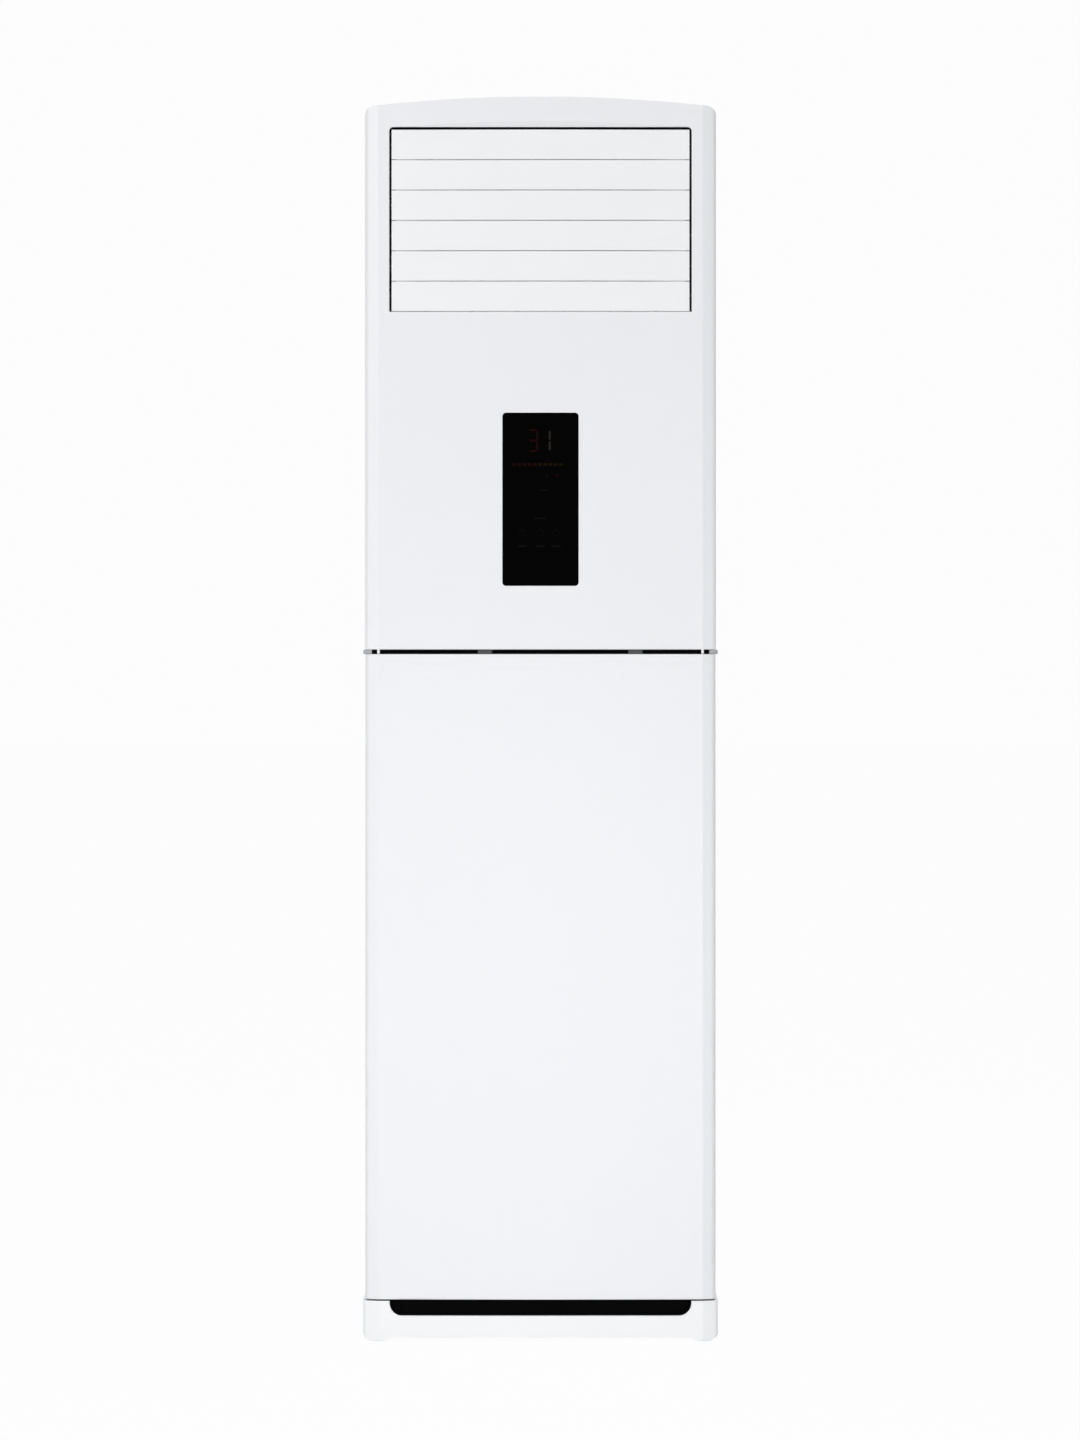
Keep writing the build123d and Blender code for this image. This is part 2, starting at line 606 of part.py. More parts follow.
with BuildPart() as partition_deck:
    block(-248.7, 248.7, -98.5, 155.5, 975, 976.5)
    for side in (-1, 1):
        block(side * 226, side * 250, 154, 160, 970, 980, mode=Mode.SUBTRACT)
    block(-214, 220, -24, 124, 970, 980, mode=Mode.SUBTRACT)
    rod_z(970, 980, 231, -67, 10.0, mode=Mode.SUBTRACT)
    rod_z(970, 980, 217, -84.5, 7.0, mode=Mode.SUBTRACT)
    rod_z(970, 980, -224, -60, 9.6, mode=Mode.SUBTRACT)
save(partition_deck, "partition_deck")

# ---------------------------------------------------------------- fan

def scroll_region():
    """Air space of the fan housing seen from the front, in the local frame of the fan axis."""
    start = (-7 + 186 * math.cos(math.radians(125)), -7 + 186 * math.sin(math.radians(125)))
    with BuildLine() as line:
        CenterArc((-7, -7), 186, 125, 55)
        CenterArc((7, -7), 200, 180, 90)
        CenterArc((7, 7), 214, 270, 90)
        Polyline((221, 7), (221, 434.7), (-215, 434.7), start)
    make_face(line.edges())


def fan_plane(y):
    """Front-facing sketch plane centred on the fan axis."""
    return Plane(origin=(0, y, FAN_Z), x_dir=(1, 0, 0), z_dir=(0, -1, 0))


with BuildPart() as fan_scroll:
    with BuildSketch(fan_plane(SCROLL_REAR - 1.5)) as region:
        scroll_region()
        offset(amount=1.5, kind=Kind.INTERSECTION, mode=Mode.REPLACE)
    extrude(amount=SCROLL_REAR - 1.5 - SCROLL_FRONT)
    with BuildSketch(fan_plane(SCROLL_REAR)):
        scroll_region()
    extrude(amount=SCROLL_REAR - SCROLL_FRONT - 1.5, mode=Mode.SUBTRACT)
    block(-240, 240, SCROLL_FRONT - 1, SCROLL_REAR + 1, FAN_Z + 434.6, FAN_Z + 440, mode=Mode.SUBTRACT)
    rod_y(SCROLL_FRONT - 2, SCROLL_FRONT + 2, 0, FAN_Z, 150.3, mode=Mode.SUBTRACT)
save(fan_scroll, "fan_scroll")

with BuildPart() as fan_scroll_back:
    with BuildSketch(fan_plane(SCROLL_REAR)):
        scroll_region()
        offset(amount=1.5, kind=Kind.INTERSECTION, mode=Mode.REPLACE)
        Circle(66, mode=Mode.SUBTRACT)
        with PolarLocations(78, 4, start_angle=45):
            Circle(2.6, mode=Mode.SUBTRACT)
    extrude(amount=1.5)
    block(-240, 240, SCROLL_FRONT - 1, SCROLL_REAR + 1, FAN_Z + 434.6, FAN_Z + 440, mode=Mode.SUBTRACT)
save(fan_scroll_back, "fan_scroll_back")

with BuildPart() as inlet_ring:
    with BuildSketch(Plane.XY.offset(FAN_Z)):
        with BuildLine():
            Polyline((138, -14), (139.5, -14))
            ThreePointArc((139.5, -14), (142.4, -21.4), (149.6, -25))
            Polyline((149.6, -25), (184, -25), (184, -26.5), (149.6, -26.5))
            ThreePointArc((149.6, -26.5), (141.4, -22.4), (138, -14))
        make_face()
    revolve(axis=Axis((0, 0, FAN_Z), (0, 1, 0)))
    # finger guard welded to the ring
    with BuildSketch(fan_plane(-30)):
        for r in (44, 84, 124, 164):
            Circle(r + 1.5)
            Circle(r - 1.5, mode=Mode.SUBTRACT)
    extrude(amount=3)
    with BuildSketch(fan_plane(-30)):
        with PolarLocations(0, 8, start_angle=22.5):
            with Locations((108, 0)):
                Rectangle(134, 3)
    extrude(amount=3)
    with BuildSketch(fan_plane(-26)):
        with PolarLocations(172, 8, start_angle=22.5):
            Rectangle(7, 6)
    extrude(amount=7)
save(inlet_ring, "inlet_ring")


with BuildPart() as impeller:
    with BuildSketch(Plane.XY.offset(FAN_Z)):
        with BuildLine():
            Polyline((IMPELLER_R, 108), (IMPELLER_R, 110), (82.6, 110), (70, 60.5), (16, 54), (16, 62),
                     (6.05, 62), (6.05, 36), (16, 36), (16, 52), (71.6, 58.6), (84, 108), close=True)
        make_face()
        with BuildLine():
            Polyline((158, -12), (IMPELLER_R, -12), (IMPELLER_R, -7), (168.5, -7), (168.5, -10.5),
                     (158, -10.5), close=True)
        make_face()
    revolve(axis=Axis((0, 0, FAN_Z), (0, 1, 0)))
    with BuildSketch(fan_plane(109)):
        with PolarLocations(0, 40):
            with BuildLine(mode=Mode.PRIVATE) as vane_curve:
                ThreePointArc((141, 0), (157, 3.5), (169.3, 12))
                Line((169.3, 12), (168.4, 13))
                ThreePointArc((168.4, 13), (156.7, 4.9), (141, 1.2))
                Line((141, 1.2), (141, 0))
            make_face(vane_curve.edges())
    extrude(amount=120.5)
save(impeller, "impeller")

with BuildPart() as motor_shaft:
    rod_y(24, 78, 0, FAN_Z, 6.0)
    with BuildSketch(fan_plane(35.9)):
        RegularPolygon(11, 6)
    extrude(amount=7)
save(motor_shaft, "motor_shaft")

with BuildPart() as fan_motor:
    rod_y(66, 128, 0, FAN_Z, 62.0)
    fillet(fan_motor.edges().group_by(Axis.Y)[0], 6.0)
    rod_y(60, 80, 0, FAN_Z, 6.1, mode=Mode.SUBTRACT)
save(fan_motor, "fan_motor")

with BuildPart() as motor_bracket:
    rod_y(128, 130.5, 0, FAN_Z, 90.0)
    with BuildSketch(fan_plane(131)):
        with PolarLocations(46, 6):
            Circle(13)
    extrude(amount=4, mode=Mode.SUBTRACT)
    for i in range(4):
        a = math.radians(45 + 90 * i)
        rod_y(SCROLL_REAR, 128, 78 * math.cos(a), FAN_Z + 78 * math.sin(a), 7.0)
        rod_y(120, 135, 78 * math.cos(a), FAN_Z + 78 * math.sin(a), 2.6, mode=Mode.SUBTRACT)
save(motor_bracket, "motor_bracket")

# ---------------------------------------------------------------- filters

FILTER_HALF = 226.0

with BuildPart() as filter_frame:
    block(-236, 236, -92, -86, 92, 800)
    with BuildSketch(front_at(-80)):
        with Locations((0, 446)):
            with GridLocations(153, 172, 3, 4):
                RectangleRounded(143, 162, 4)
    extrude(amount=15, mode=Mode.SUBTRACT)
    for side in (-1, 1):
        block(side * 222, side * 236, -92, -86, 9.2, 92)
        block(side * 226.6, side * 230, -101.5, -92, 92, 800)
        block(side * 221, side * 230, -101.5, -100.1, 92, 800)
    for z0, z1 in ((96, 108), (447, 452), (792, 800)):
        block(-226.6, 226.6, -101.5, -92, z0, z1)
    for z1 in (108, 452):
        for x in (-150, 150):
            block(x - 11, x + 11, -98.8, -94.2, z1 - 6, z1 + 1, mode=Mode.SUBTRACT)
save(filter_frame, "filter_frame")


def filter_body(low, high):
    """Washable filter: border, cross bars, thin mesh, two foot tabs and a grip."""
    with BuildPart() as screen:
        block(-FILTER_HALF, FILTER_HALF, -99.5, -93.5, low, high)
        with BuildSketch(front_at(-90)):
            with Locations((0, (low + high) / 2)):
                with GridLocations(111.5, (high - low - 10) / 3, 4, 3):
                    Rectangle(107.5, (high - low - 10) / 3 - 4)
        extrude(amount=12, mode=Mode.SUBTRACT)
        block(-FILTER_HALF + 3, FILTER_HALF - 3, -96.8, -96.2, low + 3, high - 3)
        for x in (-150, 150):
            block(x - 9, x + 9, -98.3, -94.7, low - 4.5, low)
        block(-18, 18, -104, -99.5, high - 26, high - 10)
        fillet(screen.edges().filter_by(Axis.Y).filter_by(lambda e: abs(e.center().Y + 101.75) < 0.1), 4.0)
    return screen


air_filter_lower = filter_body(108.5, 438.0)
save(air_filter_lower, "air_filter_lower")
air_filter_upper = filter_body(452.5, 782.0)
save(air_filter_upper, "air_filter_upper")

# ---------------------------------------------------------------- control box

with BuildPart() as electrical_box:
    block(-210, 165, -128, -60, 812, 960)
    block(-208.5, 163.5, -130, -61.5, 813.5, 958.5, mode=Mode.SUBTRACT)
    for x in (-150, 130):
        block(x - 10, x + 10, -60, SCROLL_FRONT, 870, 890)
    for x in (-203, 158):
        for z in (819, 953):
            rod_y(-128, -108, x, z, 5.5)
            rod_y(-129, -110, x, z, 1.6, mode=Mode.SUBTRACT)
    # terminal strip moulded on the back wall
    block(60, 150, -80, -61, 830, 852)
    for i in range(6):
        block(60 + 15 * i + 12.5, 60 + 15 * i + 14.5, -86, -80, 830, 852)
        rod_y(-83, -78, 60 + 15 * i + 5, 841, 3.5)
save(electrical_box, "electrical_box")

with BuildPart() as electrical_box_cover:
    block(-211.5, 166.5, -129.5, -128, 810.5, 961.5)
    for x in (-203, 158):
        for z in (819, 953):
            rod_y(-131, -127, x, z, 1.9, mode=Mode.SUBTRACT)
    with BuildSketch(front_at(-127)):
        with Locations((105, 920)):
            with GridLocations(0, 9, 1, 6):
                SlotOverall(70, 4)
    extrude(amount=5, mode=Mode.SUBTRACT)
save(electrical_box_cover, "electrical_box_cover")

with BuildPart() as main_board:
    block(-196, 30, -68, -66.4, 824, 948)
    for x in (-186, 20):
        for z in (832, 940):
            rod_y(-66.4, -61.5, x, z, 3.0)
    for x, z in ((-170, 850), (-140, 850), (-110, 850)):
        block(x - 9, x + 9, -84, -68, z - 8, z + 8)
    for x, z, r in ((-60, 860, 11), (-30, 860, 11), (0, 870, 9)):
        rod_y(-98, -68, x, z, r)
    block(-180, -120, -80, -68, 900, 935)
    block(-80, -50, -72, -68, 905, 935)
    for i in range(6):
        block(-20 + 7 * i, -18 + 7 * i, -95, -68, 900, 936)
    block(-20, 17, -71, -68, 900, 936)
save(main_board, "main_board")

# ---------------------------------------------------------------- refrigerant and drain lines

def bent_tube(points, radius, bend):
    """Round tube along straight runs joined by tangent arcs."""
    pts = [Vector(*p) for p in points]
    with BuildPart(mode=Mode.PRIVATE) as tube:
        with BuildLine():
            start = pts[0]
            for i in range(1, len(pts) - 1):
                before = (pts[i] - pts[i - 1]).normalized()
                after = (pts[i + 1] - pts[i]).normalized()
                turn = math.radians(before.get_angle(after))
                reach = bend * math.tan(turn / 2)
                towards = (after - before).normalized()
                centre = pts[i] + towards * (bend / math.cos(turn / 2))
                a, b = pts[i] - before * reach, pts[i] + after * reach
                Line(start, a)
                ThreePointArc(a, centre - towards * bend, b)
                start = b
            Line(start, pts[-1])
        with BuildSketch(Plane(origin=pts[0], z_dir=(pts[1] - pts[0]).normalized())):
            Circle(radius)
        sweep()
    return tube.part


GAS_END = (175.0, 165.0)
LIQUID_END = (155.0, 190.0)
DRAIN_END = (150.0, 152.0)
liquid_start = coil_rows[0][0]
gas_start = coil_rows[1][0]


def flare_union(x, z, hex_r, stub_r, bore_r):
    """Hexagon nut and threaded stub at the rear end of a pipe."""
    with BuildSketch(Plane(origin=(x, 132, z), x_dir=(1, 0, 0), z_dir=(0, -1, 0))) as nut:
        RegularPolygon(hex_r, 6)
    extrude(nut.sketch, amount=14)
    rod_y(132, 148, x, z, stub_r)
    rod_y(124, 150, x, z, bore_r, mode=Mode.SUBTRACT)


with BuildPart() as gas_pipe:
    add(bent_tube([(209.3, *gas_start), (231, *gas_start), (231, gas_start[0], GAS_END[1]),
                   (GAS_END[0], gas_start[0], GAS_END[1]), (GAS_END[0], 126, GAS_END[1])], 7.94, 20))
    flare_union(*GAS_END, 15.0, 10.5, 6.9)
save(gas_pipe, "gas_pipe")

with BuildPart() as liquid_pipe:
    add(bent_tube([(209.3, *liquid_start), (217.2, *liquid_start), (217.2, liquid_start[0], 945),
                   (217.2, -46, 945), (217.2, -46, LIQUID_END[1]), (LIQUID_END[0], -46, LIQUID_END[1]),
                   (LIQUID_END[0], 126, LIQUID_END[1])], 4.76, 7.5))
    flare_union(*LIQUID_END, 10.5, 7.0, 3.8)
save(liquid_pipe, "liquid_pipe")

with BuildPart() as drain_pipe:
    add(bent_tube([(-224, -60, 984.8), (-224, -60, DRAIN_END[1]), (DRAIN_END[0], -60, DRAIN_END[1]),
                   (DRAIN_END[0], 150, DRAIN_END[1])], 8.0, 30))
    add(bent_tube([(-224, -60, 990), (-224, -60, DRAIN_END[1]), (DRAIN_END[0], -60, DRAIN_END[1]),
                   (DRAIN_END[0], 160, DRAIN_END[1])], 6.0, 30), mode=Mode.SUBTRACT)
save(drain_pipe, "drain_pipe")

with BuildPart() as support_brackets:
    # two posts under the fan housing
    for x, top in ((-161, 419.3), (100, 352.3)):
        block(x, x + 1.5, 0, 88, 9.2, top)
        block(x - 20, x + 1.5, 0, 88, 9.2, 10.7)
        block(x - 14, x + 1.5, 0, 1.5, 9.2, top - 30)
        block(x - 14, x + 1.5, 86.5, 88, 9.2, top - 30)
    # plate that holds the pipe unions and the drain pipe
    block(126, 200, 112, 114, 9.2, 216)
    block(126, 200, 112, 132, 9.2, 11.2)
    rod_y(110, 118, *GAS_END, 8.3, mode=Mode.SUBTRACT)
    rod_y(110, 118, *LIQUID_END, 5.1, mode=Mode.SUBTRACT)
    rod_y(110, 118, *DRAIN_END, 8.6, mode=Mode.SUBTRACT)
save(support_brackets, "support_brackets")

# ---------------------------------------------------------------- lower front panel and hinge

BOTTOM_WALL = 1.8
RECESS_Z = 954.2         # foot of the slope below the shallow strip along the panel's top
RECESS_DEPTH = 1.0
RECESS_RISE = 5.0
RECESS_HALF = 226.0

with BuildPart() as lower_face:
    # the panel's outline, drawn in by the depth of the strip over a short slope
    with BuildSketch(Plane.XY.offset(RECESS_Z)):
        plan_outline(LOWER_HALF, CROWN_Y, LOWER_REAR + 20)
    with BuildSketch(Plane.XY.offset(RECESS_Z + RECESS_RISE)):
        plan_outline(LOWER_HALF, CROWN_Y, LOWER_REAR + 20, RECESS_DEPTH)
    loft(ruled=True)
    with BuildSketch(Plane.XY.offset(RECESS_Z + RECESS_RISE)):
        plan_outline(LOWER_HALF, CROWN_Y, LOWER_REAR + 20, RECESS_DEPTH)
    extrude(amount=LOWER_TOP - RECESS_Z)

with BuildPart() as top_strip:
    with BuildSketch(front_at(-150)) as strip:
        with Locations((0, RECESS_Z + 20)):
            Rectangle(2 * RECESS_HALF, 40)
        fillet(strip.vertices().group_by(Axis.Y)[0], 12.0)
    extrude(amount=20)
    add(lower_face.part, mode=Mode.SUBTRACT)

with BuildPart() as lower_front_panel:
    with BuildSketch(Plane.XY.offset(LOWER_BOTTOM)):
        plan_outline(LOWER_HALF, CROWN_Y, LOWER_REAR)
    extrude(amount=LOWER_TOP - LOWER_BOTTOM)
    fillet(lower_front_panel.edges().group_by(Axis.Z)[0].filter_by(
        lambda e: e.center().Y < LOWER_REAR - 0.5), 1.5)
    with BuildSketch(Plane.XY.offset(LOWER_BOTTOM + BOTTOM_WALL)):
        plan_outline(LOWER_HALF, CROWN_Y, LOWER_REAR + 10, WALL)
    extrude(amount=LOWER_TOP - LOWER_BOTTOM - BOTTOM_WALL - WALL, mode=Mode.SUBTRACT)
    add(top_strip.part, mode=Mode.SUBTRACT)
    for side in (-1, 1):
        # slot that clears the hinge arm when the panel tilts
        block(side * 213, side * 223, -146, -130, LOWER_BOTTOM - 1, LOWER_BOTTOM + BOTTOM_WALL,
              mode=Mode.SUBTRACT)
        block(side * 223.5, side * 228.5, -154, -143, LOWER_BOTTOM + 1, HINGE_Z + 4.5)
        rod_x(side * 223.5, side * 228.5, HINGE_Y, HINGE_Z, 5.2)
        rod_x(side * 216.2, side * 225, HINGE_Y, HINGE_Z, 2.5)
        # rear lower corner cut away so that it swings past the side grille
        with BuildSketch(side_at(side * 245)):
            with BuildLine():
                Polyline((LOWER_REAR + 1, LOWER_BOTTOM - 1), (LOWER_REAR + 1, LOWER_BOTTOM + 5.7),
                         (LOWER_REAR - 3.5, LOWER_BOTTOM - 1), close=True)
            make_face()
        extrude(amount=5, both=True, mode=Mode.SUBTRACT)
    for z in (240, 420, 600, 780):
        block(-240, 240, -152.6, -142, z - 1, z + 1)
        block(-160, 160, -155.3, -150, z - 1, z + 1)
    for x in (-80, 80):
        block(x - 1, x + 1, -155.4, -142, LOWER_BOTTOM + 1, LOWER_TOP - 1)
save(lower_front_panel, "lower_front_panel")

with BuildPart() as strike_plates:
    for x in (-79, 135):
        block(x - 10, x + 10, -154.5, -148.6, LOWER_TOP, LOWER_TOP + 1)
save(strike_plates, "strike_plates")

with BuildPart() as hinge_sill:
    # dark wall behind the plinth slot and the whole seam, with two hinge arms
    block(-247.5, 247.5, -146, -144, 36.2, PLINTH_TOP + 0.6)
    for side in (-1, 1):
        block(side * 214, side * 216, -146, -130, 36.2, PLINTH_TOP + 0.6)
        rod_x(side * 216, side * 222, HINGE_Y, HINGE_Z, 3.8)
        block(side * 216, side * 222, HINGE_Y, -130, HINGE_Z - 2, HINGE_Z + 2)
        block(side * 214, side * 222, -134, -130, 9.2, HINGE_Z + 2)
        block(side * 204, side * 226, -134, -108, 9.2, 12.2)
        rod_x(side * 215, side * 223, HINGE_Y, HINGE_Z, 2.6, mode=Mode.SUBTRACT)
        rod_z(9, 13, side * 210, -118, 3.0, mode=Mode.SUBTRACT)
save(hinge_sill, "hinge_sill")

# ---------------------------------------------------------------- side grilles and waist

GRILLE_TOP = 975.5

with BuildPart() as side_grilles:
    for side in (-1, 1):
        with BuildSketch(side_at(side * 246.25)):
            with Locations((-118, (PLINTH_TOP + GRILLE_TOP) / 2)):
                Rectangle(32, GRILLE_TOP - PLINTH_TOP)
                with GridLocations(0, 15, 1, 59):
                    SlotOverall(24, 8, mode=Mode.SUBTRACT)
        extrude(amount=3.25, both=True)
        block(side * 243, side * 249.5, -134, -131.5, PLINTH_TOP, GRILLE_TOP)
        block(side * 240, side * 243, -103.5, -102, PLINTH_TOP, GRILLE_TOP)
save(side_grilles, "side_grilles")

with BuildPart() as waist_rail:
    block(-240, 240, -148, -104, WAIST_LOW, WAIST_HIGH)
    block(-237, 237, -146, -100, WAIST_LOW + 1.4, WAIST_HIGH - 1.4, mode=Mode.SUBTRACT)
    for x in (-160, 160):
        block(x - 15, x + 15, -106, -90, 976.5, WAIST_LOW + 1.4)
save(waist_rail, "waist_rail")

with BuildPart() as waist_end_caps:
    with BuildSketch(Plane.XY.offset(WAIST_LOW)):
        plan_outline(WIDTH / 2, -156.5, -104)
        Rectangle(480.2, 400, mode=Mode.SUBTRACT)
    extrude(amount=WAIST_HIGH - WAIST_LOW)
save(waist_end_caps, "waist_end_caps")

with BuildPart() as panel_catches:
    for x in (-79, 135):
        block(x - 10, x + 10, -153, -148, LOWER_TOP + 1.2, WAIST_HIGH)
save(panel_catches, "panel_catches")

# ---------------------------------------------------------------- fasteners

with BuildPart() as fixing_screws:
    for x in (-238, 238):
        for z in (90, 420, 750, 1080, 1410, 1715):
            rod_y(158, 159.8, x, z, 4.0)
            rod_y(150, 158, x, z, 1.7)
    for x in (-203, 158):
        for z in (819, 953):
            rod_y(-131.5, -129.5, x, z, 4.0)
            rod_y(-129.5, -118, x, z, 1.5)
    for i in range(4):
        a = math.radians(45 + 90 * i)
        x, z = 78 * math.cos(a), FAN_Z + 78 * math.sin(a)
        rod_y(120, 130.5, x, z, 2.5)
        rod_y(130.5, 134, x, z, 5.0)
save(fixing_screws, "fixing_screws")
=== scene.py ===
"""Looks of a floor standing air conditioner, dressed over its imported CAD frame."""

import json
import math

import bmesh
import bpy
from mathutils import Matrix, Vector


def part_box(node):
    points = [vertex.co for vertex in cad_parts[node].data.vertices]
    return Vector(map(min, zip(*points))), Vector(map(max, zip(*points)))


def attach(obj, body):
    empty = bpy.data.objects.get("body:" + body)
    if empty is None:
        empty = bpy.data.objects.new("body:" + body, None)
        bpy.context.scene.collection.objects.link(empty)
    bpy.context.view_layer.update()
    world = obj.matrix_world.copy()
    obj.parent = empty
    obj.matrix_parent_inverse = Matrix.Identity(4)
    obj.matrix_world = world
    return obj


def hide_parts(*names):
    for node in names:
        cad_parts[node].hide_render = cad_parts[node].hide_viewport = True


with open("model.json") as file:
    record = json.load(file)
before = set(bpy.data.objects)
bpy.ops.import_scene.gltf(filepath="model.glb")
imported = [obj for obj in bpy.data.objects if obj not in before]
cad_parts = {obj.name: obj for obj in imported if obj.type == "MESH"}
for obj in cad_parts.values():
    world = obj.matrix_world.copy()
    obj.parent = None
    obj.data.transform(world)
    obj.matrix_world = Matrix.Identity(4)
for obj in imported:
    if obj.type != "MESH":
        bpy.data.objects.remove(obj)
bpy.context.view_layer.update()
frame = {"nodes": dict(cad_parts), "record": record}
nodes = frame["nodes"]
collection = bpy.context.scene.collection

# ---------------------------------------------------------------- photograph and camera

PHOTO_SCALE = 0.0014217      # metres per pixel of the 1080 x 1440 photograph, at the front panels
PHOTO_MIDDLE_X = 540.5       # photograph column of the object's middle
PHOTO_FLOOR_Y = 1341.5       # photograph row of the floor under the feet
IMAGE_WIDTH, IMAGE_HEIGHT = 1080, 1440
CAMERA_DISTANCE = 8.0
SENSOR_HEIGHT = 36.0         # millimetres
CLIP_END = 500.0             # past the far edge of the floor
FRONT_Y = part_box("upper_front_panel")[0][1]


def photo_x(column):
    """Object x of a photograph column."""
    return (column - PHOTO_MIDDLE_X) * PHOTO_SCALE


def photo_z(row):
    """Object z of a photograph row."""
    return (PHOTO_FLOOR_Y - row) * PHOTO_SCALE


camera_data = bpy.data.cameras.new("camera")
camera_data.sensor_fit = "VERTICAL"
camera_data.sensor_height = SENSOR_HEIGHT
camera_data.lens = SENSOR_HEIGHT * CAMERA_DISTANCE / (IMAGE_HEIGHT * PHOTO_SCALE)
camera_data.clip_end = CLIP_END
camera = bpy.data.objects.new("camera", camera_data)
camera.location = (photo_x(IMAGE_WIDTH / 2), FRONT_Y - CAMERA_DISTANCE, photo_z(IMAGE_HEIGHT / 2))
camera.rotation_euler = (math.radians(90), 0, 0)
collection.objects.link(camera)
bpy.context.scene.camera = camera

# ---------------------------------------------------------------- materials

COAT_ROUGHNESS = 0.08
LEAST_ROUGHNESS = 0.02
NOISE_LOW, NOISE_HIGH = 0.25, 0.75      # the range that a noise pattern mostly keeps to


def srgb(red, green, blue):
    """Linear colour from 0 to 255 screen values."""
    def linear(v):
        v /= 255
        return v / 12.92 if v <= 0.04045 else ((v + 0.055) / 1.055) ** 2.4
    return (linear(red), linear(green), linear(blue), 1.0)


def shaded(colour, factor):
    """The same colour, darker or lighter."""
    return tuple(min(1.0, c * factor) for c in colour[:3]) + (1.0,)


class Look:
    """A principled material with helpers for procedural colour, roughness and relief."""

    def __init__(self, name, colour, roughness, metallic=0.0, specular=0.5, coat=0.0):
        self.name = name
        self.colour = colour
        self.roughness = roughness
        self.made = bpy.data.materials.new(name)
        self.made.use_nodes = True
        self.tree = self.made.node_tree
        self.shader = self.tree.nodes["Principled BSDF"]
        inputs = self.shader.inputs
        inputs["Base Color"].default_value = colour
        inputs["Roughness"].default_value = roughness
        inputs["Metallic"].default_value = metallic
        inputs["Specular IOR Level"].default_value = specular
        inputs["Coat Weight"].default_value = coat
        inputs["Coat Roughness"].default_value = COAT_ROUGHNESS
        self.place = self.tree.nodes.new("ShaderNodeTexCoord").outputs["Object"]

    def noise(self, size, detail=3):
        """Soft patches about size metres across."""
        node = self.tree.nodes.new("ShaderNodeTexNoise")
        node.inputs["Scale"].default_value = 1 / size
        node.inputs["Detail"].default_value = detail
        self.tree.links.new(self.place, node.inputs["Vector"])
        return node.outputs["Fac"]

    def cells(self, size, output="Color"):
        """Cells about size metres across: their own colours, or the distance to their middles."""
        node = self.tree.nodes.new("ShaderNodeTexVoronoi")
        node.inputs["Scale"].default_value = 1 / size
        self.tree.links.new(self.place, node.inputs["Vector"])
        return node.outputs[output]

    def waves(self, size, direction="X", distortion=0.0):
        """Parallel bands, about 0.63 of size apart."""
        node = self.tree.nodes.new("ShaderNodeTexWave")
        node.bands_direction = direction
        node.inputs["Scale"].default_value = 0.5 / size
        node.inputs["Distortion"].default_value = distortion
        self.tree.links.new(self.place, node.inputs["Vector"])
        return node.outputs["Fac"]

    def colour_between(self, first, second, pattern):
        """Base colour that goes from one colour to another with a pattern."""
        mix = self.tree.nodes.new("ShaderNodeMix")
        mix.data_type = "RGBA"
        mix.inputs["A"].default_value = first
        mix.inputs["B"].default_value = second
        self.tree.links.new(pattern, mix.inputs["Factor"])
        self.tree.links.new(mix.outputs["Result"], self.shader.inputs["Base Color"])
        return self

    def mottle(self, spread, size):
        """Base colour that is a little darker and lighter in patches."""
        darker = shaded(self.colour, 1 - spread)
        lighter = shaded(self.colour, 1 + spread)
        return self.colour_between(darker, lighter, self.noise(size))

    def uneven(self, spread, size):
        """Roughness that varies in patches by up to spread, either way."""
        node = self.tree.nodes.new("ShaderNodeMapRange")
        node.inputs["From Min"].default_value = NOISE_LOW
        node.inputs["From Max"].default_value = NOISE_HIGH
        node.inputs["To Min"].default_value = max(LEAST_ROUGHNESS, self.roughness - spread)
        node.inputs["To Max"].default_value = min(1.0, self.roughness + spread)
        self.tree.links.new(self.noise(size, detail=4), node.inputs["Value"])
        self.tree.links.new(node.outputs["Result"], self.shader.inputs["Roughness"])
        return self

    def relief(self, depth, pattern):
        """Bumps of a depth in metres."""
        bump = self.tree.nodes.new("ShaderNodeBump")
        bump.inputs["Strength"].default_value = 1.0
        bump.inputs["Distance"].default_value = depth
        self.tree.links.new(pattern, bump.inputs["Height"])
        self.tree.links.new(bump.outputs["Normal"], self.shader.inputs["Normal"])
        return self

    def painted_shade_ends(self, reach, colour):
        """A second colour beyond a distance from the middle, left and right: painted shade at a part's ends.
        """
        split = self.tree.nodes.new("ShaderNodeSeparateXYZ")
        self.tree.links.new(self.place, split.inputs["Vector"])
        distance = self.tree.nodes.new("ShaderNodeMath")
        distance.operation = "ABSOLUTE"
        self.tree.links.new(split.outputs["X"], distance.inputs[0])
        beyond = self.tree.nodes.new("ShaderNodeMath")
        beyond.operation = "GREATER_THAN"
        beyond.inputs[1].default_value = reach
        self.tree.links.new(distance.outputs["Value"], beyond.inputs[0])
        mix = self.tree.nodes.new("ShaderNodeMix")
        mix.data_type = "RGBA"
        mix.inputs["B"].default_value = colour
        colour_input = self.shader.inputs["Base Color"]
        self.tree.links.new(colour_input.links[0].from_socket, mix.inputs["A"])
        self.tree.links.new(beyond.outputs["Value"], mix.inputs["Factor"])
        self.tree.links.new(mix.outputs["Result"], colour_input)
        return self


def moulded(name, colour, roughness, specular=0.5, coat=0.0, mottle=0.01, grain=0.0009, depth=0.00003):
    """Injection moulded plastic: faint flow mottling, uneven gloss and a fine grain."""
    look = Look(name, colour, roughness, specular=specular, coat=coat)
    look.mottle(mottle, size=0.12).uneven(spread=0.05, size=0.05)
    return look.relief(depth, look.noise(grain, detail=2))


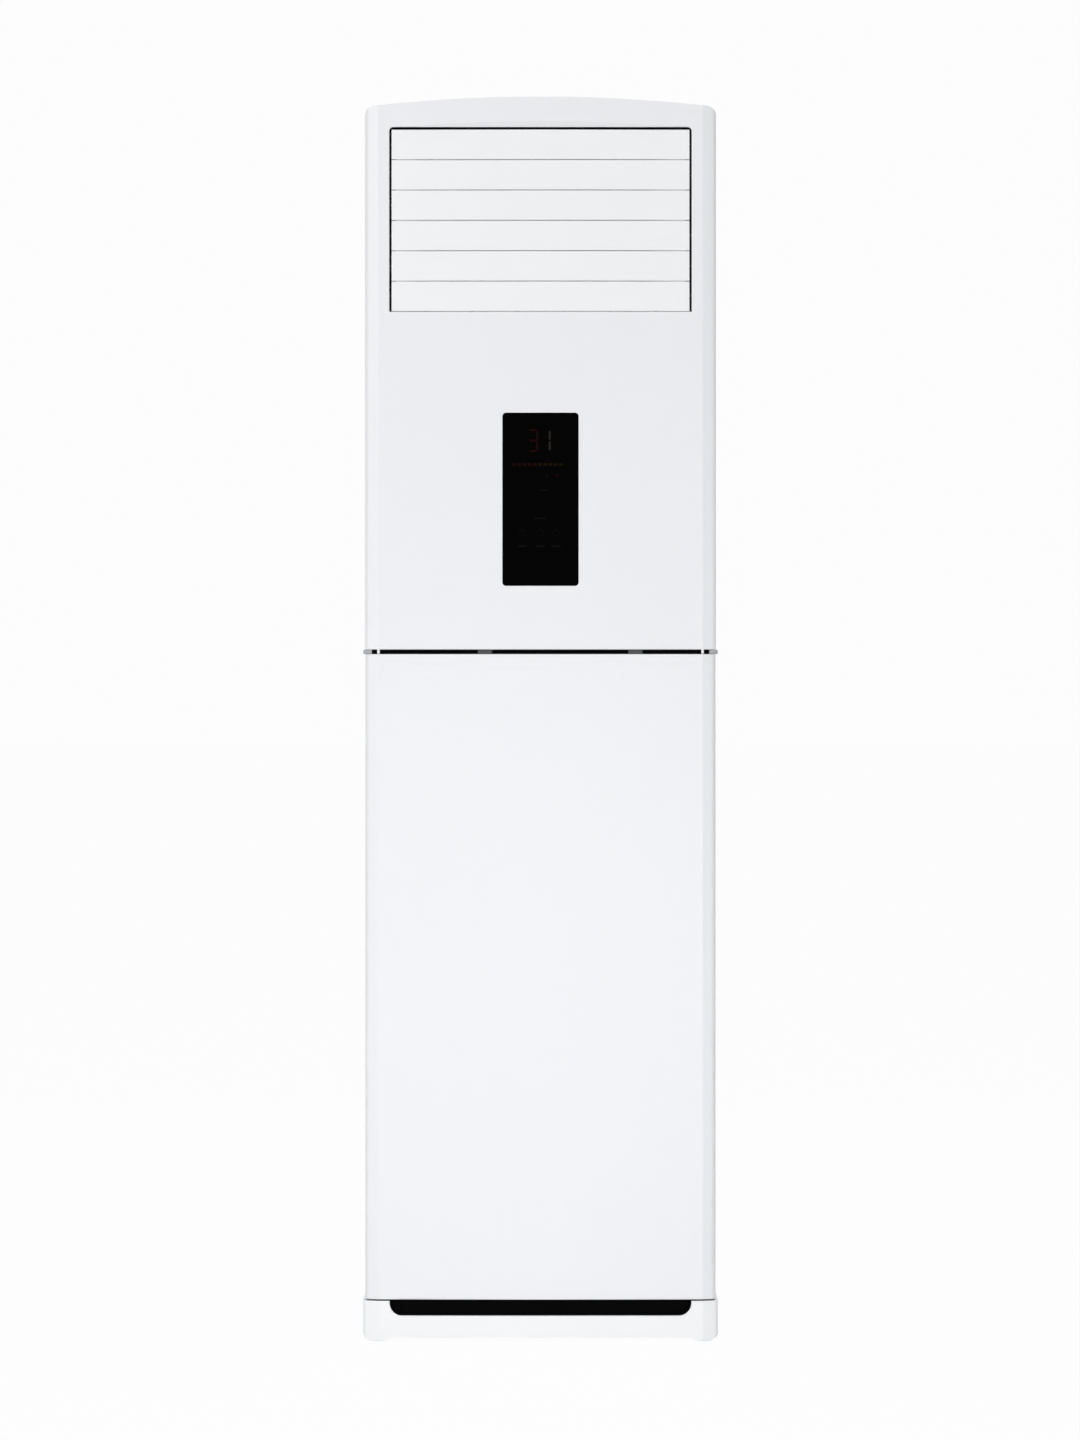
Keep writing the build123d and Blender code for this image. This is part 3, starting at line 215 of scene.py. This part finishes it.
def painted(name, colour, roughness):
    """Powder painted steel: orange peel a millimetre or two across."""
    look = Look(name, colour, roughness)
    look.mottle(spread=0.008, size=0.3).uneven(spread=0.06, size=0.08)
    return look.relief(depth=0.00006, pattern=look.noise(size=0.0018, detail=2))


def plated(name, colour, roughness, spangle):
    """Zinc coated sheet with spangle."""
    look = Look(name, colour, roughness, metallic=0.85)
    look.colour_between(shaded(colour, 0.86), shaded(colour, 1.12), look.cells(spangle))
    look.uneven(spread=0.12, size=0.02)
    return look.relief(depth=0.00003, pattern=look.noise(size=0.004))


def metal(name, colour, roughness, mottle=0.06, size=0.01, grain=0.0008):
    """Bare metal: patches of tone and gloss over a fine grain."""
    look = Look(name, colour, roughness, metallic=1.0)
    look.mottle(mottle, size).uneven(0.1, size)
    return look.relief(depth=0.00002, pattern=look.noise(grain, detail=2))


fins = Look("fin_aluminium", srgb(206, 209, 213), 0.34, metallic=0.9)
fins.mottle(spread=0.06, size=0.006).uneven(spread=0.1, size=0.01)
fins.relief(depth=0.00025, pattern=fins.waves(size=0.0022, direction="Z", distortion=0.2))

COMPONENT_SIZE = 0.004       # spacing of the small parts and tracks on the control board
board = Look("board_green", srgb(26, 88, 50), 0.35)
board.colour_between(srgb(22, 78, 44), srgb(60, 122, 74), board.cells(COMPONENT_SIZE, "Distance"))
board.uneven(spread=0.1, size=0.01).relief(depth=0.0001, pattern=board.cells(COMPONENT_SIZE, "Distance"))

WHITE = srgb(246, 247, 250)
# a lighter white: on the louvers it is painted light that makes up for the shade of their recess; the plinth
# uses it too
BRIGHT_WHITE = srgb(252, 253, 255)
SATIN = 0.34                 # roughness of the white mouldings
MARK_GLOSS = {"roughness": 0.4, "specular": 0.02}
all_looks = (
    moulded("white_gloss", WHITE, SATIN, coat=0.25, mottle=0.004, grain=0.004, depth=0.00002),
    # louver look: lighter than the panels' white as painted light against the shade of their recess, with
    # painted shade at its ends
    moulded("white_blade_painted_light_and_shade", BRIGHT_WHITE, SATIN, coat=0.15, mottle=0.004, grain=0.004, depth=0.00002),
    moulded("white_base", BRIGHT_WHITE, SATIN, coat=0.1, mottle=0.005, grain=0.003, depth=0.00003),
    painted("white_sheet", srgb(240, 241, 245), 0.42),
    painted("grey_sheet", srgb(212, 214, 217), 0.48),
    moulded("silver_plastic", srgb(176, 178, 181), 0.34, mottle=0.02),
    moulded("black_plastic", srgb(4, 4, 5), 0.7, specular=0.03, mottle=0.15),
    moulded("dark_plastic", srgb(80, 81, 82), 0.5, specular=0.3, mottle=0.1),
    moulded("grey_plastic", srgb(214, 216, 219), 0.45, mottle=0.02),
    moulded("duct_grey", srgb(208, 210, 212), 0.8, mottle=0.03, grain=0.003, depth=0.0002),
    moulded("display_black", srgb(3, 3, 3), 0.08, specular=0.01, mottle=0.1, grain=0.01, depth=0.00001),
    plated("galvanised", srgb(170, 174, 178), 0.4, spangle=0.009),
    metal("motor_metal", srgb(152, 154, 158), 0.38),
    fins,
    metal("copper", srgb(198, 122, 86), 0.3, mottle=0.12, size=0.03),
    board,
    moulded("pipe_grey", srgb(216, 216, 213), 0.5, mottle=0.03),
    moulded("fan_plastic", srgb(52, 54, 57), 0.48, mottle=0.08),
    metal("screw_steel", srgb(186, 188, 190), 0.3, size=0.003),
    moulded("filter_plastic", srgb(146, 150, 156), 0.55, mottle=0.04),
    moulded("black_rubber", srgb(22, 22, 22), 0.8, specular=0.3, mottle=0.15, depth=0.0001),
    moulded("display_red", srgb(27, 6, 5), **MARK_GLOSS),
    moulded("display_amber", srgb(24, 15, 5), **MARK_GLOSS),
    moulded("display_pale", srgb(42, 34, 29), **MARK_GLOSS),
    moulded("display_green", srgb(4, 14, 8), **MARK_GLOSS),
    moulded("display_grey", srgb(12, 12, 12), **MARK_GLOSS),
)
looks = {look.name: look for look in all_looks}

BLADE_REACH = 0.2120         # just past the ends of the louvers; beyond it the pivots are painted near black as shade for the gap at the outlet's ends
PIVOT_PAINTED_SHADE = srgb(30, 30, 31)
# the louvers' ends past the reach are painted near black: painted shade standing for the dark gap at the ends
# of the outlet
looks["white_blade_painted_light_and_shade"].painted_shade_ends(BLADE_REACH, PIVOT_PAINTED_SHADE)

slots = {entry["node"]: entry["material_slot"] for entry in frame["record"]["subparts"]}
# the louvers take the lighter white look, painted light against the shade in their recess
brighter = {f"louver_{i}": "white_blade_painted_light_and_shade" for i in range(1, 7)}
brighter["base_plinth"] = "white_base"
for name, node in nodes.items():
    node.data.materials.clear()
    node.data.materials.append(looks[brighter.get(name, slots[name])].made)

# ---------------------------------------------------------------- mesh helpers


def new_piece(name, mesh, look, body, smooth_angle=None):
    """Object from a bmesh, with a material and the body it rides on."""
    bmesh.ops.recalc_face_normals(mesh, faces=mesh.faces)
    data = bpy.data.meshes.new(name)
    mesh.to_mesh(data)
    mesh.free()
    piece = bpy.data.objects.new(name, data)
    collection.objects.link(piece)
    data.materials.append(looks[look].made)
    if smooth_angle:
        data.polygons.foreach_set("use_smooth", [True] * len(data.polygons))
        data.set_sharp_from_angle(angle=math.radians(smooth_angle))
    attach(piece, body)
    return piece


def add_block(mesh, low, high, turn=None):
    """Box between two corners, optionally turned by a matrix."""
    centre = (Vector(low) + Vector(high)) / 2
    size = Vector(high) - Vector(low)
    matrix = Matrix.Translation(centre) @ Matrix.Diagonal((*size, 1))
    if turn:
        matrix = turn @ matrix
    return bmesh.ops.create_cube(mesh, size=1, matrix=matrix)["verts"]


def add_prism(mesh, outline, front, back):
    """Flat outline of (x, z) points given thickness from y = front to y = back."""
    faces = []
    for y in (front, back):
        faces.append([mesh.verts.new((x, y, z)) for x, z in outline])
    count = len(outline)
    mesh.faces.new(faces[0])
    mesh.faces.new(list(reversed(faces[1])))
    for i in range(count):
        j = (i + 1) % count
        mesh.faces.new((faces[0][i], faces[1][i], faces[1][j], faces[0][j]))


def ring_outline(x, z, outer, inner, start, end, steps=20):
    """Points of an arc-shaped band."""
    angles = [math.radians(start + (end - start) * i / steps) for i in range(steps + 1)]
    outside = [(x + outer * math.cos(a), z + outer * math.sin(a)) for a in angles]
    inside = [(x + inner * math.cos(a), z + inner * math.sin(a)) for a in reversed(angles)]
    return outside + inside


# ---------------------------------------------------------------- display marks

MARK_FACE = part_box("display_window")[0][1]
MARK_DEPTH = 0.00012
SEGMENTS = {"3": "abgcd", "1": "bc"}    # bars of each digit: a top, b and c right, d bottom, g middle
SEGMENT_GAP = 0.18                      # gap between bars, as a share of the stroke


def segment_outlines(digit, x, z, width, height, stroke):
    """Hexagonal bars of a seven segment digit, centred at x, z."""
    w, h, s, gap = width / 2, height / 2, stroke / 2, stroke * SEGMENT_GAP

    def flat(zc):
        return [(x - w + s + gap, zc), (x - w + 2 * s + gap, zc + s), (x + w - 2 * s - gap, zc + s),
                (x + w - s - gap, zc), (x + w - 2 * s - gap, zc - s), (x - w + 2 * s + gap, zc - s)]

    def upright(xc, z0, z1):
        return [(xc, z0 + gap), (xc + s, z0 + s + gap), (xc + s, z1 - s - gap),
                (xc, z1 - gap), (xc - s, z1 - s - gap), (xc - s, z0 + s + gap)]

    shapes = {"a": flat(z + h - s), "g": flat(z), "d": flat(z - h + s),
              "b": upright(x + w - s, z, z + h - s), "c": upright(x + w - s, z - h + s, z)}
    return [shapes[key] for key in SEGMENTS[digit]]


def display_piece(name, outlines, look):
    """Printed or lit marks on the face of the display window."""
    mesh = bmesh.new()
    for outline in outlines:
        add_prism(mesh, outline, MARK_FACE - MARK_DEPTH, MARK_FACE)
    piece = new_piece(name, mesh, look, "cabinet")
    return piece


def bar(column, row, width, height):
    """Small upright rectangle centred on a photograph pixel, sized in pixels."""
    x, z, w, h = photo_x(column), photo_z(row), width * PHOTO_SCALE / 2, height * PHOTO_SCALE / 2
    return [(x - w, z - h), (x + w, z - h), (x + w, z + h), (x - w, z + h)]


# columns, rows, widths and heights here are photograph pixels; names with SIZE or RADIUS are metres
DIGIT_ROW, DIGIT_ROWS_TALL = 440.5, 23
LEFT_DIGIT_COLUMN, RIGHT_DIGIT_COLUMN = 533.0, 545.5
DIGIT_WIDTH_SIZE, DIGIT_STROKE_SIZE = 0.015, 0.0030
MARK_ROW, MARK_WIDTH, MARK_HEIGHT = 464.5, 3.6, 3.0
MARK_COUNT, MARK_PITCH = 5, 5.2
LOW_MARKS_COLUMN, HIGH_MARKS_COLUMN = 514, 540
DOT_ROW, RUN_DOT_COLUMN, TIMER_DOT_COLUMN = 475.5, 547, 557
DOT_OUTER_RADIUS, DOT_INNER_RADIUS = 0.0022, 0.0008
UPPER_DASH = (544.5, 490.3, 8, 1.4)     # column, row, width, height
LOWER_DASH = (539.8, 518.3, 12, 1.6)
KEY_COLUMNS, KEY_ROW = (522, 540.4, 556.2), 533
KEY_OUTER_RADIUS, KEY_INNER_RADIUS = 0.0050, 0.0042
TICK_ROW, TICK_WIDTH, TICK_HEIGHT = 529.5, 0.9, 4
KEY_DASH_ROW, KEY_DASH_WIDTH, KEY_DASH_HEIGHT = 546.2, 9, 1.8


def digit_outlines(digit, column):
    """Bars of one digit of the temperature."""
    return segment_outlines(digit, photo_x(column), photo_z(DIGIT_ROW), DIGIT_WIDTH_SIZE,
                            DIGIT_ROWS_TALL * PHOTO_SCALE, DIGIT_STROKE_SIZE)


def mark_row(first_column):
    """Small bars side by side, from a photograph column."""
    return [bar(first_column + MARK_PITCH * i, MARK_ROW, MARK_WIDTH, MARK_HEIGHT) for i in range(MARK_COUNT)]


def dot(column):
    """Small ring with a gap."""
    return ring_outline(photo_x(column), photo_z(DOT_ROW), DOT_OUTER_RADIUS, DOT_INNER_RADIUS, 0, 330)


def key_outlines(column):
    """Touch key: an open ring with a tick at its top and a dash under it."""
    return [ring_outline(photo_x(column), photo_z(KEY_ROW), KEY_OUTER_RADIUS, KEY_INNER_RADIUS, 110, 430, 28),
            bar(column, TICK_ROW, TICK_WIDTH, TICK_HEIGHT),
            bar(column, KEY_DASH_ROW, KEY_DASH_WIDTH, KEY_DASH_HEIGHT)]


display_piece("display_digit_left", digit_outlines("3", LEFT_DIGIT_COLUMN), "display_red")
display_piece("display_digit_right", digit_outlines("1", RIGHT_DIGIT_COLUMN), "display_pale")
display_piece("display_row_low", mark_row(LOW_MARKS_COLUMN), "display_red")
display_piece("display_row_high", mark_row(HIGH_MARKS_COLUMN), "display_amber")
display_piece("display_dot_run", [dot(RUN_DOT_COLUMN)], "display_green")
display_piece("display_dot_timer", [dot(TIMER_DOT_COLUMN)], "display_red")
key_marks = [bar(*UPPER_DASH), bar(*LOWER_DASH)]
for column in KEY_COLUMNS:
    key_marks += key_outlines(column)
display_piece("display_keys", key_marks, "display_grey")

# ---------------------------------------------------------------- screws


HEAD_CURVE_STEPS, HEAD_SIDES = 6, 28
CROWN_SHARE, RIM_SHARE = 0.55, 0.35     # flat share of the radius, upright share of the height
CROSS_REACH, CROSS_HALF = 0.6, 0.11     # arms of the recess, as shares of the radius
CROSS_FLOOR, CROSS_TOP = 0.35, 1.2      # from floor to over the crown, as shares of the height
CROSS_TAPER = 0.45                      # the recess narrows to this at its floor


def turned_head(radius, height):
    """Pan head without its recess, as an object."""
    mesh = bmesh.new()
    profile = [(0.0, height)]
    for i in range(1, HEAD_CURVE_STEPS + 1):
        a = math.radians(90 * i / HEAD_CURVE_STEPS)
        profile.append((radius * (CROWN_SHARE + (1 - CROWN_SHARE) * math.sin(a)),
                        height * (RIM_SHARE + (1 - RIM_SHARE) * math.cos(a))))
    profile += [(radius, 0.0), (0.0, 0.0)]
    points = [mesh.verts.new((r, -h, 0)) for r, h in profile]
    edges = [mesh.edges.new((a, b)) for a, b in zip(points, points[1:])]
    bmesh.ops.spin(mesh, geom=points + edges, cent=(0, 0, 0), axis=(0, 1, 0), angle=2 * math.pi,
                   steps=HEAD_SIDES)
    bmesh.ops.remove_doubles(mesh, verts=mesh.verts, dist=radius * 1e-4)
    bmesh.ops.recalc_face_normals(mesh, faces=mesh.faces)
    data = bpy.data.meshes.new("head")
    mesh.to_mesh(data)
    mesh.free()
    head = bpy.data.objects.new("head", data)
    collection.objects.link(head)
    return head


def recess_cutter(radius, height, turn):
    """One tapered bar of the cross recess, as an object."""
    mesh = bmesh.new()
    corners = add_block(mesh, (-radius * CROSS_REACH, -height * CROSS_TOP, -radius * CROSS_HALF),
                        (radius * CROSS_REACH, -height * CROSS_FLOOR, radius * CROSS_HALF))
    for v in corners:
        if v.co.y > -height * (CROSS_FLOOR + CROSS_TOP) / 2:
            v.co.x *= CROSS_TAPER
        v.co = Matrix.Rotation(math.radians(turn), 3, "Y") @ v.co
    data = bpy.data.meshes.new("cutter")
    mesh.to_mesh(data)
    mesh.free()
    cutter = bpy.data.objects.new("cutter", data)
    collection.objects.link(cutter)
    return cutter


def screw_head(radius, height):
    """Pan head with a cross recess, lying along -Y with its seat at the origin."""
    head = turned_head(radius, height)
    cutters = [recess_cutter(radius, height, turn) for turn in (0, 90)]
    for cutter in cutters:
        modifier = head.modifiers.new("recess", "BOOLEAN")
        modifier.operation = "DIFFERENCE"
        modifier.solver = "EXACT"
        modifier.object = cutter
    bpy.context.view_layer.update()
    result = bpy.data.meshes.new_from_object(head.evaluated_get(bpy.context.evaluated_depsgraph_get()))
    for thing in cutters + [head]:
        bpy.data.objects.remove(thing)
    return result


REAR_SCREW_X, REAR_FACE_Y = 0.238, 0.158
REAR_SCREW_ZS = (0.090, 0.420, 0.750, 1.080, 1.410, 1.715)
BOX_SCREW_XS, BOX_SCREW_ZS, BOX_FACE_Y = (-0.203, 0.158), (0.819, 0.953), -0.1295
FAN_AXIS_Z, MOTOR_BOLT_CIRCLE, MOTOR_FACE_Y = 0.540, 0.078, 0.1305
SHANK_RADIUS, SHANK_LENGTH = 0.0015, 0.0075
SCREW_TURN = 37              # each screw stops at another angle
TO_FRONT, TO_REAR = 0, 180   # the way that a head faces

rear_head = screw_head(0.0040, 0.0018)
front_head = screw_head(0.0040, 0.0020)
motor_head = screw_head(0.0050, 0.0035)
places = []
for x in (-REAR_SCREW_X, REAR_SCREW_X):
    places += [(rear_head, (x, REAR_FACE_Y, z), TO_REAR) for z in REAR_SCREW_ZS]
for x in BOX_SCREW_XS:
    places += [(front_head, (x, BOX_FACE_Y, z), TO_FRONT) for z in BOX_SCREW_ZS]
for i in range(4):
    angle = math.radians(45 + 90 * i)
    motor_place = (MOTOR_BOLT_CIRCLE * math.cos(angle), MOTOR_FACE_Y,
                   FAN_AXIS_Z + MOTOR_BOLT_CIRCLE * math.sin(angle))
    places.append((motor_head, motor_place, TO_REAR))
mesh = bmesh.new()
for i, (head, place, facing) in enumerate(places):
    placed = head.copy()
    placed.transform(Matrix.Translation(place) @ Matrix.Rotation(math.radians(facing), 4, "Z")
                     @ Matrix.Rotation(math.radians(SCREW_TURN * i), 4, "Y"))
    mesh.from_mesh(placed)
    # shank behind the head
    inward = -1 if facing == TO_REAR else 1
    middle = (place[0], place[1] + inward * SHANK_LENGTH / 2, place[2])
    bmesh.ops.create_cone(mesh, cap_ends=True, segments=16, radius1=SHANK_RADIUS, radius2=SHANK_RADIUS,
                          depth=SHANK_LENGTH,
                          matrix=Matrix.Translation(middle) @ Matrix.Rotation(math.radians(90), 4, "X"))
screws = new_piece("screw_set", mesh, "screw_steel", "cabinet", smooth_angle=35)
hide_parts("fixing_screws")

# ---------------------------------------------------------------- evaporator fin pack

COIL_LOW_Y, COIL_LOW_Z = -0.085, 1.010
COIL_LENGTH, COIL_DEPTH = 0.466, 0.038
COIL_LEAN = math.atan2(180.0, 430.0)
FIN_PITCH, FIN_THICKNESS = 0.0028, 0.0003
FIN_PACK_HALF, FIN_MARGIN = 0.2035, 0.001
coil_turn = Matrix.Translation((0, COIL_LOW_Y, COIL_LOW_Z)) @ Matrix.Rotation(-COIL_LEAN, 4, "X")
mesh = bmesh.new()
x = -FIN_PACK_HALF
while x < FIN_PACK_HALF:
    add_block(mesh, (x, -COIL_DEPTH / 2 + FIN_MARGIN, FIN_MARGIN),
              (x + FIN_THICKNESS, COIL_DEPTH / 2 - FIN_MARGIN, COIL_LENGTH - FIN_MARGIN), coil_turn)
    x += FIN_PITCH
fin_pack = new_piece("evaporator_fin_pack", mesh, "fin_aluminium", "cabinet")

# ---------------------------------------------------------------- filters with a real net

NET_PITCH, STRAND = 0.0024, 0.00035
NET_TUCK = 0.002             # the net's strands end this far from the filter's edge
BORDER, BORDER_FRONT, BORDER_BACK = 0.005, -0.0995, -0.0935
CROSS_BAR_HALF, CROSS_BAR_PITCH = 0.002, 0.1115
TAB_X, TAB_HALF, TAB_HEIGHT = 0.150, 0.009, 0.0045
TAB_FRONT, TAB_BACK, TAB_OVERLAP = -0.0983, -0.0947, 0.001
GRIP_HALF, GRIP_LOW, GRIP_HIGH, GRIP_OVERLAP = 0.018, 0.026, 0.010, 0.0005
FILTER_BEVEL = 0.0006


def filter_screen(node, body):
    """Washable filter: bevelled border, cross bars, net of crossed strands, two foot tabs and a grip."""
    low, high = (Vector(corner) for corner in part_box(node))
    left, right = low.x, high.x
    floor, top = low.z + TAB_HEIGHT, high.z
    mesh = bmesh.new()

    def framed(x0, x1, z0, z1):
        """Bar as thick as the border."""
        add_block(mesh, (x0, BORDER_FRONT, z0), (x1, BORDER_BACK, z1))

    framed(left, left + BORDER, floor, top)
    framed(right - BORDER, right, floor, top)
    framed(left, right, floor, floor + BORDER)
    framed(left, right, top - BORDER, top)
    for i in (-1, 0, 1):
        framed(i * CROSS_BAR_PITCH - CROSS_BAR_HALF, i * CROSS_BAR_PITCH + CROSS_BAR_HALF, floor, top)
    span = (top - floor - 2 * BORDER) / 3
    middle = (top + floor) / 2
    for i in (-0.5, 0.5):
        framed(left, right, middle + i * span - CROSS_BAR_HALF, middle + i * span + CROSS_BAR_HALF)
    for x in (-TAB_X, TAB_X):
        add_block(mesh, (x - TAB_HALF, TAB_FRONT, low.z), (x + TAB_HALF, TAB_BACK, floor + TAB_OVERLAP))
    add_block(mesh, (-GRIP_HALF, low.y, top - GRIP_LOW),
              (GRIP_HALF, BORDER_FRONT + GRIP_OVERLAP, top - GRIP_HIGH))
    bmesh.ops.bevel(mesh, geom=mesh.edges[:], offset=FILTER_BEVEL, segments=2, affect="EDGES", profile=0.5)
    y = (BORDER_FRONT + BORDER_BACK) / 2
    x = left + BORDER
    while x < right - BORDER:
        add_block(mesh, (x, y - STRAND, floor + NET_TUCK), (x + STRAND, y, top - NET_TUCK))
        x += NET_PITCH
    z = floor + BORDER
    while z < top - BORDER:
        add_block(mesh, (left + NET_TUCK, y, z), (right - NET_TUCK, y + STRAND, z + STRAND))
        z += NET_PITCH
    screen = new_piece(node + "_net", mesh, "filter_plastic", body)
    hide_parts(node)


filter_screen("air_filter_lower", "filter_lower")
filter_screen("air_filter_upper", "filter_upper")

# ---------------------------------------------------------------- floor and light

FLOOR_HALF = 200.0
FLOOR_PALE = srgb(222, 222, 222)
FLOOR_GLOW = 0.97            # share of plain white where the camera or a reflection sees the floor
AMBIENT = 0.355              # light of the world on the object
SKY = 0.98                   # the world where the camera or a reflection sees it


def floor_material():
    """Nearly white to the camera and in reflections, with a faint shadow kept, and pale to all other rays."""
    made = bpy.data.materials.new("floor")
    made.use_nodes = True
    tree = made.node_tree
    tree.nodes.clear()
    out = tree.nodes.new("ShaderNodeOutputMaterial")
    mix = tree.nodes.new("ShaderNodeMixShader")
    diffuse = tree.nodes.new("ShaderNodeBsdfDiffuse")
    diffuse.inputs["Color"].default_value = FLOOR_PALE
    glow = tree.nodes.new("ShaderNodeEmission")
    glow.inputs["Color"].default_value = (1.0, 1.0, 1.0, 1.0)
    share = tree.nodes.new("ShaderNodeMath")
    share.operation = "MULTIPLY"
    share.inputs[1].default_value = FLOOR_GLOW
    tree.links.new(seen_directly(tree), share.inputs[0])
    tree.links.new(share.outputs[0], mix.inputs["Fac"])
    tree.links.new(diffuse.outputs["BSDF"], mix.inputs[1])
    tree.links.new(glow.outputs["Emission"], mix.inputs[2])
    tree.links.new(mix.outputs["Shader"], out.inputs["Surface"])
    return made


def seen_directly(tree):
    """1 for camera, glossy and transmission rays."""
    path = tree.nodes.new("ShaderNodeLightPath")
    result = path.outputs["Is Camera Ray"]
    for other in ("Is Glossy Ray", "Is Transmission Ray"):
        either = tree.nodes.new("ShaderNodeMath")
        either.operation = "MAXIMUM"
        tree.links.new(result, either.inputs[0])
        tree.links.new(path.outputs[other], either.inputs[1])
        result = either.outputs[0]
    return result


def floor_sheet():
    """One flat sheet under the object, wide enough to reach the horizon."""
    mesh = bmesh.new()
    bmesh.ops.create_grid(mesh, x_segments=1, y_segments=1, size=FLOOR_HALF)
    data = bpy.data.meshes.new("floor")
    mesh.to_mesh(data)
    mesh.free()
    sheet = bpy.data.objects.new("floor", data)
    data.materials.append(floor_material())
    collection.objects.link(sheet)


def softbox(name, place, aim, size, power, mirrored=True, spread=180):
    """Rectangular studio light turned towards a point; a small spread keeps its light in a beam."""
    data = bpy.data.lights.new(name, "AREA")
    data.shape = "RECTANGLE"
    data.size, data.size_y = size
    data.energy = power
    data.spread = math.radians(spread)
    lamp = bpy.data.objects.new(name, data)
    lamp.location = place
    lamp.rotation_euler = (Vector(aim) - Vector(place)).to_track_quat("-Z", "Y").to_euler()
    lamp.visible_camera = False
    lamp.visible_glossy = mirrored
    collection.objects.link(lamp)


FRONT_MIDDLE, FRONT_FOOT = (0, -0.16, 0.9), (0, -0.16, 0.20)
INNER_MIDDLE, TOP_MIDDLE = (0, 0.1, 0.9), (0, 0.05, 1.7)

floor_sheet()
softbox("key", (-3.2, -5.9, 2.8), FRONT_MIDDLE, size=(2.4, 1.6), power=155)
softbox("right", (2.7, -5.7, 3.0), FRONT_MIDDLE, size=(2.0, 1.6), power=62)
softbox("front_fill", (0, -4.2, 0.7), FRONT_FOOT, size=(1.0, 0.8), power=1.25, mirrored=False, spread=40)
softbox("rear_left", (-3.2, 3.0, 1.7), INNER_MIDDLE, size=(1.8, 2.2), power=17, mirrored=False)
softbox("rear_right", (3.2, 3.0, 1.7), INNER_MIDDLE, size=(1.8, 2.2), power=17, mirrored=False)
softbox("above", (0, 0.6, 4.2), TOP_MIDDLE, size=(2.0, 2.0), power=24, mirrored=False)

world = bpy.data.worlds.new("studio")
bpy.context.scene.world = world
world.use_nodes = True
tree = world.node_tree
background = tree.nodes["Background"]
background.inputs["Color"].default_value = (1.0, 1.0, 1.0, 1.0)
level = tree.nodes.new("ShaderNodeMapRange")
level.inputs["To Min"].default_value = AMBIENT
level.inputs["To Max"].default_value = SKY
tree.links.new(seen_directly(tree), level.inputs["Value"])
tree.links.new(level.outputs["Result"], background.inputs["Strength"])

bpy.context.scene.view_settings.view_transform = "Standard"
